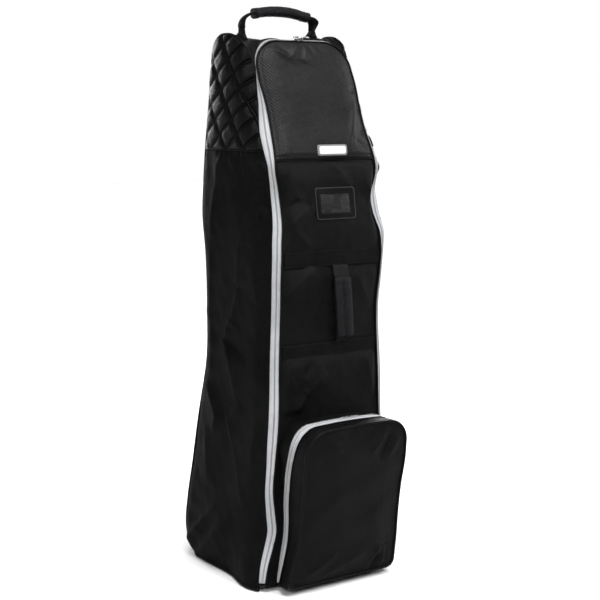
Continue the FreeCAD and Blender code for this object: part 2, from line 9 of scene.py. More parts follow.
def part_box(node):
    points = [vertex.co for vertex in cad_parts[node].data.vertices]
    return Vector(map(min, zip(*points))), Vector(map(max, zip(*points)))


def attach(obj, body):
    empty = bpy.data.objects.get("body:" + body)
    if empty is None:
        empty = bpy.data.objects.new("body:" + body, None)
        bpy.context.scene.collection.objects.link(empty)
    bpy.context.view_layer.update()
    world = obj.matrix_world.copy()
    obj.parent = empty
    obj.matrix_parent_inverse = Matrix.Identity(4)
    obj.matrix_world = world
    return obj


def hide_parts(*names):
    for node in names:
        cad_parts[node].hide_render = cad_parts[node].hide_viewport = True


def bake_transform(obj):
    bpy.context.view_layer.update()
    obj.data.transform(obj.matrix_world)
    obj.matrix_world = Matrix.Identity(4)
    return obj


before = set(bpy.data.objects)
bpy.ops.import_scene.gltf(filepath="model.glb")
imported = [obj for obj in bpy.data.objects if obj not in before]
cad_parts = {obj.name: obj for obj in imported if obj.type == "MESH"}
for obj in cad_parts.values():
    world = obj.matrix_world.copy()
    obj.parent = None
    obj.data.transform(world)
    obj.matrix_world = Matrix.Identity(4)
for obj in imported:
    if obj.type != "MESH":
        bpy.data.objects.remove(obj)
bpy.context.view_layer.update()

# The looks of a soft golf travel case, in metres. Soft panels are grids of points worked out from a few
# smooth outlines; each is skinned, thickened and given a woven material. Y offsets are from the flap.

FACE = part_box("flap_panel")[0].y
HINGE_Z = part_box("flap_panel")[0].z
SEAM_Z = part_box("dome_panel")[0].z + 0.003
QUILT_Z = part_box("quilted_panel_left")[0].z
CLOTH = 0.0024
CREST = 0.003
SHOULDER_Z = 1.204
STITCH_GAP = .0012
STITCH_LIFT = .0002
QUILT_SPACING = (0.0414, 0.0600)
SIDES = ((-1, "left"), (1, "right"))


# ---- Curves and fields ------------------------------------------------------------------------

def unit(vectors):
    """Vectors scaled to a length of 1."""
    return vectors / np.maximum(np.linalg.norm(vectors, axis=-1, keepdims=True), 1e-12)


def distances(path):
    """The distance along a path at each of its points."""
    return np.concatenate([[0], np.cumsum(np.linalg.norm(np.diff(path, axis=0), axis=1))])


def ease(x):
    """A soft step from 0 to 1."""
    x = np.clip(x, 0, 1)
    return x * x * (3 - 2 * x)


def bell(x, width):
    """1 at zero, fading smoothly over a width."""
    return np.exp(-(x / width) ** 2)


def squarish(angle, power):
    """The cosine and sine of an angle, pushed out towards a square."""
    c, s = np.cos(angle), np.sin(angle)
    return np.sign(c) * np.abs(c) ** power, np.sign(s) * np.abs(s) ** power


def smooth(stations):
    """A smooth function through (position, value, value...) stations, constant past its ends."""
    table = np.array(stations, float)
    x, y = table[:, 0], table[:, 1:]
    slope = np.gradient(y, x, axis=0)

    def at(q):
        q = np.clip(np.asarray(q, float), x[0], x[-1])
        i = np.clip(np.searchsorted(x, q) - 1, 0, len(x) - 2)
        gap = (x[i + 1] - x[i])[..., None]
        f = (q - x[i])[..., None] / gap
        value = ((1 + 2 * f) * (1 - f) ** 2 * y[i] + f * (1 - f) ** 2 * gap * slope[i]
                 + f * f * (3 - 2 * f) * y[i + 1] + f * f * (f - 1) * gap * slope[i + 1])
        return value[..., 0] if y.shape[1] == 1 else value
    return at


def respread(points, count):
    """The same line with its points spread evenly."""
    points = np.asarray(points, float)
    reach = distances(points)
    even = np.linspace(0, reach[-1], count)
    return np.column_stack([np.interp(even, reach, column) for column in points.T])


def along(points, count):
    """Points spread evenly on the smooth curve through a few control points."""
    points = np.array(points, float)
    reach = distances(points)
    curve = smooth(np.column_stack([reach, points]))
    return respread(curve(np.linspace(0, reach[-1], 40 * len(points))), count)


def fold(a, b, start, end, width, height):
    """A ridge (or, with a negative height, a crease) between two points of a panel's plane.

    A pair of widths lets it fall away faster on one side, so that the cloth breaks into facets.
    """
    start, end = np.array(start, float), np.array(end, float)
    length = np.linalg.norm(end - start)
    run = (end - start) / length
    passed = ((a - start[0]) * run[0] + (b - start[1]) * run[1]) / length
    off = (a - start[0]) * run[1] - (b - start[1]) * run[0]
    taper = height * np.sin(np.pi * np.clip(passed, 0, 1)) ** 0.6
    if np.ndim(width):
        return taper * np.exp(-(np.hypot(off, CREST) - CREST) / np.where(off < 0, *width))
    return taper * bell(off, width)


def folds(a, b, table):
    """The sum of several folds."""
    return sum(fold(a, b, *row) for row in table)


def ripple(a, b, size, height, seed):
    """Gentle uneven waviness, repeatable for a seed."""
    draw = np.random.default_rng(seed)
    total = np.zeros(np.broadcast(a, b).shape)
    for _ in range(6):
        angle, phase, scale = draw.uniform(0, math.tau), draw.uniform(0, math.tau), draw.uniform(0.6, 1.7)
        total += np.sin((a * math.cos(angle) + b * math.sin(angle)) * math.tau * scale / size + phase)
    return height * total / 6


# ---- Meshes -----------------------------------------------------------------------------------

def arc_lengths(grid):
    """Cloth coordinates in metres, measured along the rows and columns of a grid."""
    across = np.linalg.norm(np.diff(grid, axis=1), axis=2)
    up = np.linalg.norm(np.diff(grid, axis=0), axis=2)
    u = np.concatenate([np.zeros((grid.shape[0], 1)), np.cumsum(across, axis=1)], axis=1)
    v = np.concatenate([np.zeros((1, grid.shape[1])), np.cumsum(up, axis=0)], axis=0)
    return u - u[:, [grid.shape[1] // 2]], v


def grid_faces(rows, cols):
    """The quads of a grid of points."""
    index = np.arange(rows * cols).reshape(rows, cols)
    return np.stack([index[:-1, :-1], index[:-1, 1:], index[1:, 1:], index[1:, :-1]], axis=-1).reshape(-1,
                                                                                                       4)


def ring_faces(count, sides, closed=False, capped=True):
    """The faces of a skin through rings of points. An open skin may have its ends capped."""
    index = np.arange(count * sides).reshape(count, sides).tolist()
    faces = []
    for i in range(count if closed else count - 1):
        a, b = index[i], index[(i + 1) % count]
        faces += [(a[k], a[(k + 1) % sides], b[(k + 1) % sides], b[k]) for k in range(sides)]
    if capped and not closed:
        faces += [tuple(index[0][::-1]), tuple(index[-1])]
    return faces


def new_object(name, mesh):
    """A smooth-shaded object in the scene."""
    mesh.polygons.foreach_set("use_smooth", [True] * len(mesh.polygons))
    obj = bpy.data.objects.new(name, mesh)
    bpy.context.scene.collection.objects.link(obj)
    return obj


def add_uv(obj, name, values):
    """A UV layer from one pair of values for each point."""
    layer = obj.data.uv_layers.new(name=name)
    corner = np.zeros(len(obj.data.loops), int)
    obj.data.loops.foreach_get("vertex_index", corner)
    layer.data.foreach_set("uv", np.asarray(values, float).reshape(-1, 2)[corner].ravel())


def new_mesh(name, verts, faces, uv=None):
    """An object from points and faces, with cloth coordinates where they are given."""
    mesh = bpy.data.meshes.new(name)
    mesh.from_pydata([tuple(p) for p in np.asarray(verts).reshape(-1, 3)], [], [tuple(f) for f in faces])
    obj = new_object(name, mesh)
    if uv is not None:
        add_uv(obj, "cloth", uv)
    return obj


def from_bmesh(name, bm):
    """An object from a bmesh, which is used up."""
    mesh = bpy.data.meshes.new(name)
    bm.to_mesh(mesh)
    bm.free()
    return new_object(name, mesh)


def face_outwards(obj):
    """Turns every face outwards and drops points that have none."""
    bm = bmesh.new()
    bm.from_mesh(obj.data)
    bmesh.ops.delete(bm, geom=[v for v in bm.verts if not v.link_faces], context="VERTS")
    bmesh.ops.recalc_face_normals(bm, faces=bm.faces)
    bm.to_mesh(obj.data)
    bm.free()


def modify(obj, kind, **settings):
    """Adds a modifier."""
    made = obj.modifiers.new(kind.lower(), kind)
    for key, value in settings.items():
        setattr(made, key, value)


def apply_modifiers(obj):
    """Bakes an object's modifiers into its mesh."""
    graph = bpy.context.evaluated_depsgraph_get()
    mesh = bpy.data.meshes.new_from_object(obj.evaluated_get(graph))
    obj.modifiers.clear()
    obj.data = mesh


def finish_piece(obj, material, body, replaces=()):
    """Material, body and stood-for nodes of a new piece.

    The body may be (a, b, start, end), for cloth between two bodies; such a piece is baked where it stands,
    not attached. Without a body, the object is only a part of a piece.
    """
    if not body:
        return obj
    if not obj.data.materials:
        obj.data.materials.append(material)
    if isinstance(body, tuple):
        apply_modifiers(obj)
        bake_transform(obj)
    else:
        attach(obj, body)
    if replaces:
        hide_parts(*replaces)
    return obj


def joined(name, parts, material, body, replaces=()):
    """Several parts as one piece."""
    bm = bmesh.new()
    for part in parts:
        apply_modifiers(part)
        bm.from_mesh(part.data)
        bpy.data.objects.remove(part)
    return finish_piece(from_bmesh(name, bm), material, body, replaces)


def outward(grid, facing):
    """Unit normals of a grid, turned to the side that faces the given way."""
    n = unit(np.cross(np.gradient(grid, axis=1), np.gradient(grid, axis=0)))
    return n if (n * facing).sum() > 0 else -n


def raised(grid, height, facing):
    """A grid moved along its outward normals."""
    return grid + outward(grid, facing) * np.asarray(height)[..., None]


def edge_fade(shape, margin):
    """0 at the edges of a grid and 1 inside it."""
    v, u = np.linspace(0, 1, shape[0])[:, None], np.linspace(0, 1, shape[1])[None, :]
    return ease(np.minimum(np.minimum(u, 1 - u), np.minimum(v, 1 - v)) / margin)


def panel(name, grid, material, body, replaces, facing, thick=CLOTH, lined=True, uv=None):
    """A cloth panel from a grid of points, whose right side faces the given way, thickened inwards."""
    faces = grid_faces(*grid.shape[:2])
    turn = np.cross(np.gradient(grid, axis=1), np.gradient(grid, axis=0))
    if (turn * facing).sum() < 0:
        faces = faces[:, ::-1]
    obj = new_mesh(name, grid, faces, np.stack(arc_lengths(grid) if uv is None else uv, axis=-1))
    obj.data.materials.append(material)
    if lined:
        obj.data.materials.append(LINING)
    modify(obj, "SOLIDIFY", thickness=thick, offset=-1, use_even_offset=False, material_offset=int(lined))
    return finish_piece(obj, material, body, replaces)


def tube(name, path, radius, material, body, sides=10, closed=False, replaces=()):
    """A round tube along a path. An open one is capped."""
    path = np.asarray(path, float)
    count = len(path)
    tangent = np.gradient(path, axis=0)
    if closed:
        tangent = np.roll(path, -1, axis=0) - np.roll(path, 1, axis=0)
    tangent = unit(tangent)
    side = np.zeros_like(path)
    side[0] = unit(np.cross(tangent[0], (0.3, 0.5, 0.81)))
    for i in range(1, count):
        side[i] = unit(side[i - 1] - tangent[i] * (side[i - 1] @ tangent[i]))
    other = np.cross(tangent, side)
    radius = np.broadcast_to(np.asarray(radius, float), (count,))
    angle = np.linspace(0, math.tau, sides, endpoint=False)
    ring = side[:, None] * np.cos(angle)[:, None] + other[:, None] * np.sin(angle)[:, None]
    uv = np.stack(np.broadcast_arrays(angle * radius.mean(), distances(path)[:, None]), axis=-1)
    obj = new_mesh(name, path[:, None] + ring * radius[:, None, None], ring_faces(count, sides, closed), uv)
    return finish_piece(obj, material, body, replaces)


def strip(name, path, across, width, thick, material, body, replaces=(), crown=0.0, cols=7):
    """A flat webbing strip: across is its width direction, and crown arches it."""
    path = np.asarray(path, float)
    across = unit(np.broadcast_to(np.asarray(across, float), path.shape))
    normal = unit(np.cross(np.gradient(path, axis=0), across))
    width = np.broadcast_to(np.asarray(width, float), (len(path),))[:, None]
    w = np.linspace(-0.5, 0.5, cols)
    grid = (path[:, None] + across[:, None] * (w * width)[..., None]
            + normal[:, None] * (crown * (1 - 4 * w ** 2))[:, None])
    uv = np.stack(np.broadcast_arrays(w * width, distances(path)[:, None]), axis=-1)
    obj = new_mesh(name, grid, grid_faces(len(path), cols), uv)
    modify(obj, "SOLIDIFY", thickness=thick, offset=0)
    modify(obj, "BEVEL", width=thick * 0.35, segments=2, limit_method="ANGLE")
    return finish_piece(obj, material, body, replaces)


def ring_piece(name, loops, material, body, replaces=(), capped=True):
    """A skin through closed loops of points."""
    loops = np.asarray(loops, float)
    uv = np.stack([loops[..., 0] + loops[..., 1], loops[..., 2] + .5 * loops[..., 1]], axis=-1)
    obj = new_mesh(name, loops, ring_faces(*loops.shape[:2], capped=capped), uv)
    face_outwards(obj)
    return finish_piece(obj, material, body, replaces)


def stitches(name, path, normals, material, body, pitch=0.0045, radius=0.00035):
    """A row of short thread stitches along a path, as one mesh."""
    path = np.asarray(path, float)
    normals = np.broadcast_to(np.asarray(normals, float), path.shape)
    reach = distances(path)
    parts = np.array([-0.5, -0.32, 0, 0.32, 0.5]) * (pitch - STITCH_GAP)
    rise = (STITCH_LIFT + np.array([-1.0, 0.1, 0.55, 0.1, -1.0]) * radius)[:, None]
    angle = np.linspace(0, math.tau, 5, endpoint=False)[:, None]
    one = ring_faces(5, 5)
    verts, faces = [], []
    for s in np.arange(0, reach[-1] - pitch, pitch):
        centre = np.column_stack([np.interp(s + pitch / 2 + parts, reach, column) for column in path.T])
        n = unit(np.array([np.interp(s, reach, column) for column in normals.T]))
        side = np.cross(unit(centre[-1] - centre[0]), n)
        faces += [tuple(k + len(verts) for k in face) for face in one]
        ring = radius * (side * np.cos(angle) + n * np.sin(angle))
        verts += list(((centre + n * rise)[:, None] + ring).reshape(-1, 3))
    return finish_piece(new_mesh(name, verts, faces), material, body)


def block(name, centre, axes, sizes, bevel, taper=0.0):
    """A softened block on given axes, tapered along its first axis: a part of a piece."""
    bm = bmesh.new()
    bmesh.ops.create_cube(bm, size=1)
    for v in bm.verts:
        shrink = 1 - taper * (v.co.x + .5)
        v.co = Vector((v.co.x * sizes[0], v.co.y * sizes[1] * shrink, v.co.z * sizes[2]))
    bmesh.ops.bevel(bm, geom=bm.edges[:], offset=bevel, segments=3, affect="EDGES", profile=.5)
    turn = Matrix([list(a) for a in axes]).transposed()
    for v in bm.verts:
        v.co = turn @ v.co + Vector(centre)
    return from_bmesh(name, bm)


# ---- Materials --------------------------------------------------------------------------------

class Nodes:
    """A short way to write a node tree."""

    def __init__(self, name):
        self.material = bpy.data.materials.new(name)
        self.material.use_nodes = True
        self.tree = self.material.node_tree
        self.shader = self.tree.nodes["Principled BSDF"]

    def add(self, kind, inputs=(), **settings):
        made = self.tree.nodes.new(kind)
        for key, value in settings.items():
            setattr(made, key, value)
        for key, value in dict(inputs).items():
            if isinstance(value, bpy.types.NodeSocket):
                self.tree.links.new(value, made.inputs[key])
            else:
                made.inputs[key].default_value = value
        return made

    def math(self, operation, a, b=0.0):
        return self.add("ShaderNodeMath", {0: a, 1: b}, operation=operation).outputs[0]

    def ramp(self, factor, low, high, start=0.0, end=1.0):
        made = self.add("ShaderNodeValToRGB", {"Fac": factor})
        made.color_ramp.elements[0].position, made.color_ramp.elements[1].position = start, end
        made.color_ramp.elements[0].color, made.color_ramp.elements[1].color = (*low, 1), (*high, 1)
        return made.outputs["Color"]

    def noise(self, vector, scale, detail=4.0, rough=0.55):
        return self.add("ShaderNodeTexNoise", {"Vector": vector, "Scale": scale, "Detail": detail,
                                               "Roughness": rough}).outputs["Fac"]

    def set(self, **values):
        for key, value in values.items():
            self.shader.inputs[key.replace("_", " ")].default_value = value
        return self


def woven(name, dark, light, pitch=0.0009, depth=0.00022, rough=(0.5, 0.66), sheen=0.0, twill=0.0,
          slub=0.35, specular=0.025, seams=(), crinkle=0.0009):
    """Woven cloth: yarns from the cloth's own coordinates, slubs, faint shade changes and sheen.

    seams, the two spacings of a diamond lattice, adds doubled rows of stitching, coloured near black: the
    thread's own dark colour plus painted shade in their grooves.
    """
    n = Nodes(name)
    uv = n.add("ShaderNodeUVMap", uv_map="cloth").outputs["UV"]
    axes = n.add("ShaderNodeSeparateXYZ", {"Vector": uv})
    spread = n.noise(uv, 90.0, 2.0)
    wobble = n.math("MULTIPLY", n.math("SUBTRACT", spread, 0.5), 1.6)
    u = n.math("ADD", n.math("MULTIPLY", axes.outputs["X"], math.tau / pitch), wobble)
    v = n.math("ADD", n.math("MULTIPLY", axes.outputs["Y"], math.tau / pitch), wobble)
    if twill:
        diagonal = n.math("SINE", n.math("MULTIPLY", n.math("ADD", u, v), 0.5))
        yarn = n.math("ADD", n.math("MULTIPLY", diagonal, twill),
                      n.math("MULTIPLY", n.math("MULTIPLY", n.math("SINE", u), n.math("SINE", v)),
                             1 - twill))
    else:
        yarn = n.math("MULTIPLY", n.math("SINE", u), n.math("SINE", v))
    stretched = n.add("ShaderNodeMapping", {"Vector": uv, "Scale": (160.0, 1400.0, 1.0)}).outputs["Vector"]
    slubs = n.noise(stretched, 1.0, 2.0)
    height = n.math("ADD", n.math("MULTIPLY", yarn, 0.5), n.math("MULTIPLY", slubs, slub))
    place = n.add("ShaderNodeTexCoord").outputs["Object"]
    grain = n.math("SUBTRACT", n.noise(place, 520.0, 1.0), 0.5)
    patch = n.noise(place, 9.0, 5.0)
    shade = n.math("ADD", n.math("MULTIPLY", height, 0.40), n.math("MULTIPLY", patch, 0.60))
    shade = n.math("ADD", shade, n.math("MULTIPLY", grain, 1.3))
    colour = n.ramp(shade, dark, light, 0.10, 0.95)
    gloss = n.add("ShaderNodeMapRange", {"Value": patch, "To Min": rough[0], "To Max": rough[1]})
    n.tree.links.new(gloss.outputs["Result"], n.shader.inputs["Roughness"])
    bump = n.add("ShaderNodeBump", {"Height": height, "Strength": 0.85, "Distance": depth})
    if seams:
        cell = n.add("ShaderNodeUVMap", uv_map="diamond").outputs["UV"]
        place_in_cell = n.add("ShaderNodeSeparateXYZ", {"Vector": cell})
        rows = []
        for axis, other, spacing, run in (("X", "Y", *seams), ("Y", "X", *seams[::-1])):
            across = n.math("ABSOLUTE", n.math("SUBTRACT", n.math("FRACT", n.math(
                "ADD", place_in_cell.outputs[axis], 0.5)), 0.5))
            off = n.math("ABSOLUTE", n.math("SUBTRACT", n.math("MULTIPLY", across, spacing), 0.0029))
            line = n.add("ShaderNodeMapRange", {"Value": off, "From Min": 0.0002, "From Max": 0.0010,
                                                "To Min": 1.0, "To Max": 0.0}).outputs["Result"]
            dash = n.math("SINE", n.math("MULTIPLY", place_in_cell.outputs[other], math.tau * run / 0.0042))
            rows.append(n.math("MULTIPLY", line, n.math("ADD", n.math("MULTIPLY", dash, 0.12), 0.86)))
        # Near-black stitch lines: the dark thread's own colour, plus painted shade where the grooves would
        # be shadowed.
        groove = n.math("MAXIMUM", rows[0], rows[1])
        keep = n.math("SUBTRACT", 1.0, groove)
        colour = n.add("ShaderNodeMix", {"Factor": keep, "A": (0.0002, 0.0002, 0.0002, 1), "B": colour},
                       data_type="RGBA")
        colour = colour.outputs["Result"]
        bump = n.add("ShaderNodeBump", {"Height": keep, "Strength": 0.9, "Distance": 0.0012,
                                        "Normal": bump.outputs["Normal"]})
        shine = n.math("MULTIPLY", keep, specular)
        n.tree.links.new(shine, n.shader.inputs["Specular IOR Level"])
    n.tree.links.new(colour, n.shader.inputs["Base Color"])
    fine = n.add("ShaderNodeBump", {"Height": n.noise(place, 240.0, 2.0), "Strength": 0.5,
                                    "Distance": crinkle, "Normal": bump.outputs["Normal"]})
    soft = n.add("ShaderNodeBump", {"Height": n.noise(place, 45.0, 4.0), "Strength": 0.35,
                                    "Distance": 0.0022, "Normal": fine.outputs["Normal"]})
    n.tree.links.new(soft.outputs["Normal"], n.shader.inputs["Normal"])
    n.set(Sheen_Weight=sheen, Sheen_Roughness=0.45)
    if not seams:
        n.set(Specular_IOR_Level=specular)
    return n.material


def webbing_cloth(name, dark, light, rib=0.0021):
    """Ribbed webbing: ribs across, crossed by a finer weave, with patchy tone."""
    n = Nodes(name)
    uv = n.add("ShaderNodeUVMap", uv_map="cloth").outputs["UV"]
    axes = n.add("ShaderNodeSeparateXYZ", {"Vector": uv})
    ribs = n.math("SINE", n.math("MULTIPLY", axes.outputs["Y"], math.tau / rib))
    cross = n.math("SINE", n.math("MULTIPLY", axes.outputs["X"], math.tau / (rib * 0.8)))
    height = n.math("ADD", n.math("MULTIPLY", ribs, 0.6),
                    n.math("MULTIPLY", n.math("MULTIPLY", ribs, cross), 0.4))
    place = n.add("ShaderNodeTexCoord").outputs["Object"]
    patch = n.noise(place, 25.0, 4.0)
    shade = n.math("ADD", n.math("MULTIPLY", height, 0.25), n.math("MULTIPLY", patch, 0.8))
    n.tree.links.new(n.ramp(shade, dark, light, 0.1, 0.95), n.shader.inputs["Base Color"])
    gloss = n.add("ShaderNodeMapRange", {"Value": patch, "To Min": 0.5, "To Max": 0.72})
    n.tree.links.new(gloss.outputs["Result"], n.shader.inputs["Roughness"])
    bump = n.add("ShaderNodeBump", {"Height": height, "Strength": 0.9, "Distance": 0.00035})
    n.tree.links.new(bump.outputs["Normal"], n.shader.inputs["Normal"])
    n.set(Specular_IOR_Level=0.03)
    return n.material


def zip_cloth(name, dark, light):
    """Zip tape: fine ribs across it and fine lines along it."""
    n = Nodes(name)
    uv = n.add("ShaderNodeUVMap", uv_map="cloth").outputs["UV"]
    axes = n.add("ShaderNodeSeparateXYZ", {"Vector": uv})
    ribs = n.math("SINE", n.math("MULTIPLY", axes.outputs["Y"], math.tau / 0.0016))
    lines = n.math("SINE", n.math("MULTIPLY", axes.outputs["X"], math.tau / 0.0011))
    height = n.math("ADD", n.math("MULTIPLY", ribs, 0.4), n.math("MULTIPLY", lines, 0.25))
    place = n.add("ShaderNodeTexCoord").outputs["Object"]
    patch = n.noise(place, 30.0, 4.0)
    shade = n.math("ADD", n.math("MULTIPLY", height, 0.35), n.math("MULTIPLY", patch, 0.9))
    n.tree.links.new(n.ramp(shade, dark, light, 0.1, 0.9), n.shader.inputs["Base Color"])
    bump = n.add("ShaderNodeBump", {"Height": height, "Strength": 0.7, "Distance": 0.0002})
    n.tree.links.new(bump.outputs["Normal"], n.shader.inputs["Normal"])
    n.set(Roughness=0.6, Sheen_Weight=0.05, Sheen_Roughness=0.4, Specular_IOR_Level=0.25)
    return n.material


def moulded(name, dark, light, rough=(0.35, 0.5), grain=0.00012, scale=900.0, metallic=0.0, specular=0.2):
    """Moulded plastic, rubber or plated metal: fine grain, faint scuffs and uneven gloss."""
    n = Nodes(name)
    place = n.add("ShaderNodeTexCoord").outputs["Object"]
    patch = n.noise(place, 22.0, 5.0)
    n.tree.links.new(n.ramp(patch, dark, light, 0.25, 0.8), n.shader.inputs["Base Color"])
    gloss = n.add("ShaderNodeMapRange", {"Value": n.noise(place, 60.0, 4.0), "To Min": rough[0],
                                         "To Max": rough[1]})
    n.tree.links.new(gloss.outputs["Result"], n.shader.inputs["Roughness"])
    bump = n.add("ShaderNodeBump",
                 {"Height": n.noise(place, scale, 2.0), "Strength": 0.5, "Distance": grain})
    n.tree.links.new(bump.outputs["Normal"], n.shader.inputs["Normal"])
    n.set(Metallic=metallic, Specular_IOR_Level=specular)
    return n.material


def clear_film(name):
    """Clear flexible film with a faint haze and waviness."""
    n = Nodes(name)
    place = n.add("ShaderNodeTexCoord").outputs["Object"]
    gloss = n.add("ShaderNodeMapRange",
                  {"Value": n.noise(place, 35.0, 4.0), "To Min": 0.34, "To Max": 0.50})
    n.tree.links.new(gloss.outputs["Result"], n.shader.inputs["Roughness"])
    bump = n.add("ShaderNodeBump",
                 {"Height": n.noise(place, 28.0, 2.0), "Strength": 0.4, "Distance": 0.0006})
    n.tree.links.new(bump.outputs["Normal"], n.shader.inputs["Normal"])
    n.set(Base_Color=(0.05, 0.05, 0.052, 1), Alpha=0.14, Specular_IOR_Level=0.07)
    return n.material


CLOTH_PLAIN = woven("polyester_plain", (0.0006, 0.0006, 0.0007), (0.0048, 0.0048, 0.0051),
                    rough=(0.40, 0.48), specular=0.044)
CLOTH_SIDE = woven("polyester_side", (0.0006, 0.0006, 0.0007), (0.0088, 0.0088, 0.0093), rough=(0.42, 0.50),
                   specular=0.012)
CLOTH_DOME = woven("dome_heavy_twill", (0.0011, 0.0011, 0.0012), (0.0135, 0.0135, 0.0142), pitch=0.0046,
                   depth=0.0005, rough=(0.44, 0.52), sheen=0.02, twill=0.75, specular=0.095)
QUILT_SPACING = (0.0414, 0.0600)
CLOTH_QUILT = woven("polyester_quilted", (0.0006, 0.0006, 0.0007), (0.0038, 0.0038, 0.0042),
                    rough=(0.28, 0.37), specular=0.046, seams=QUILT_SPACING)
CLOTH_GRIP = woven("grip_wrap", (0.0015, 0.0015, 0.002), (0.009, 0.009, 0.010), rough=(0.36, 0.48),
                   pitch=0.0007, specular=0.07)
LINING = woven("lining", (0.05, 0.05, 0.055), (0.11, 0.11, 0.118), pitch=0.0007, depth=0.0001, sheen=0.1)
PIPING = woven("piping", (0.0008, 0.0008, 0.0008), (0.005, 0.005, 0.0055), pitch=0.0006, depth=0.00008,
               rough=(0.34, 0.46), specular=0.05)
WEBBING_SEWN = moulded("webbing_sewn", (0.0015, 0.0015, 0.0018), (0.008, 0.008, 0.009), (0.55, 0.75),
                       0.0003, 700.0, specular=0.05)
WEBBING = webbing_cloth("webbing", (0.0008, 0.0008, 0.0009), (0.006, 0.006, 0.0064))
# A lighter copy of the webbing for the grab handle: its lighter colour is painted sheen, for light caught
# from above.
WEBBING_PAINTED_SHEEN = webbing_cloth("webbing_painted_sheen", (0.003, 0.003, 0.0032), (0.014, 0.014, 0.0148))
THREAD_GREY = moulded("thread_grey", (0.24, 0.24, 0.245), (0.34, 0.34, 0.35), (0.5, 0.65), 0.00004)
THREAD = moulded("thread", (0.004, 0.004, 0.0045), (0.012, 0.012, 0.013), (0.45, 0.6), 0.00004,
                 specular=0.06)
ZIP_TAPE = zip_cloth("zip_tape", (0.20, 0.205, 0.21), (0.34, 0.345, 0.358))
COIL = moulded("zip_coil", (0.13, 0.132, 0.137), (0.20, 0.202, 0.208), (0.4, 0.5))
VINYL = moulded("vinyl", (0.001, 0.001, 0.0012), (0.005, 0.005, 0.0055), (0.34, 0.5), 0.0002, 420.0,
               specular=0.05)
VINYL_EDGE = moulded("vinyl_edge", (0.014, 0.014, 0.015), (0.034, 0.034, 0.036), (0.3, 0.42), 0.00005,
                     specular=0.15)
SILVER = moulded("plated_slider", (0.30, 0.30, 0.31), (0.46, 0.46, 0.47), (0.24, 0.4), 0.00003,
                 metallic=1.0)
BADGE = moulded("badge_rim", (0.10, 0.10, 0.105), (0.16, 0.16, 0.165), (0.34, 0.46), 0.00005)
BADGE_INSET = moulded("badge_field", (0.50, 0.505, 0.51), (0.60, 0.605, 0.61), (0.34, 0.46), 0.00005)
FILM = clear_film("window_film")
CARD = moulded("card", (0.006, 0.006, 0.0065), (0.018, 0.018, 0.019), (0.6, 0.75), 0.00005, specular=0.05)
BUCKLE = moulded("acetal", (0.004, 0.004, 0.0045), (0.010, 0.010, 0.011), (0.3, 0.42), 0.00005)
GUARD = moulded("guard_moulding", (0.003, 0.003, 0.0035), (0.012, 0.012, 0.013), (0.42, 0.6), 0.0003, 500.0)
TYRE = moulded("tyre_urethane", (0.006, 0.006, 0.0065), (0.016, 0.016, 0.017), (0.5, 0.68), 0.0002, 380.0)
HUB = moulded("hub_nylon", (0.16, 0.16, 0.17), (0.24, 0.24, 0.25), (0.35, 0.5))
STEEL = moulded("steel", (0.45, 0.45, 0.47), (0.62, 0.62, 0.64), (0.22, 0.38), 0.00003, metallic=1.0)
BOARD = moulded("board", (0.03, 0.03, 0.032), (0.05, 0.05, 0.053), (0.5, 0.7))


# ---- Outlines of the case ---------------------------------------------------------------------
# Heights are stations up the case. Half widths are from its centre plane. Depths are behind the flap.

side_half = smooth([(0, .183), (.04, .189), (.12, .190), (.25, .183), (.35, .176), (.48, .170), (.64, .168),
                    (.80, .170), (.95, .170), (1.01, .1675), (1.10, .162), (1.20, .158), (1.27, .156)])
back_depth = smooth([(0, .318), (.012, .330), (.03, .341), (.06, .349), (.10, .350), (.14, .344),
                     (.25, .325),
                     (.35, .311), (.40, .301), (.44, .291), (.49, .280), (.64, .275), (.77, .278),
                     (.856, .288), (.92, .283), (1.05, .275), (1.16, .266), (1.204, .259)])
edge_left = smooth([(.02, .178), (.06, .170), (.10, .157), (.14, .1465), (.18, .150), (.235, .1555),
                    (.30, .150), (.38, .141), (.54, .1365), (.64, .134), (.735, .137), (.80, .1355),
                    (.865, .126), (.915, .127), (.965, .1375), (1.01, .134), (1.06, .129), (1.11, .128),
                    (1.165, .131), (1.192, .1295)])
edge_right = smooth([(.02, .178), (.06, .170), (.10, .157), (.14, .148), (.235, .150), (.30, .148),
                     (.39, .142), (.48, .140), (.61, .134), (.66, .133), (.71, .136), (.78, .139),
                     (.82, .137), (.855, .127), (.915, .127), (.935, .133), (.965, .138), (1.01, .135),
                     (1.06, .130), (1.11, .129), (1.165, .131), (1.192, .1295)])
edge_depth = smooth([(.02, -.015), (.365, -.015), (.54, -.013), (.64, -.014), (.70, -.019), (.745, -.0225),
                     (.785, -.0235), (.83, -.017), (.87, -.006), (.915, .002), (.95, -.001), (.975, .000),
                     (1.012, .012), (1.055, .031), (1.095, .046), (1.133, .060), (1.167, .074),
                     (1.196, .086), (1.23, .0985), (1.256, .108)])
zip_left = smooth([(.02, -.012, .012, 0), (.10, -.017, .014, 0), (.15, -.018, .014, 0),
                   (.27, -.014, .015, 0),
                   (.36, -.020, .0135, 0), (.50, -.018, .0145, 0), (.70, -.016, .016, 0),
                   (.83, -.018, .014, 0), (.918, -.015, .0135, 0), (.97, -.012, .0145, 0),
                   (1.01, -.0195, .0145, 0), (1.055, -.021, .016, 0), (1.09, -.0165, .0145, 0),
                   (1.133, -.0100, .0108, 0), (1.167, -.0040, .0088, .002), (1.192, -.0010, .0080, .003)])
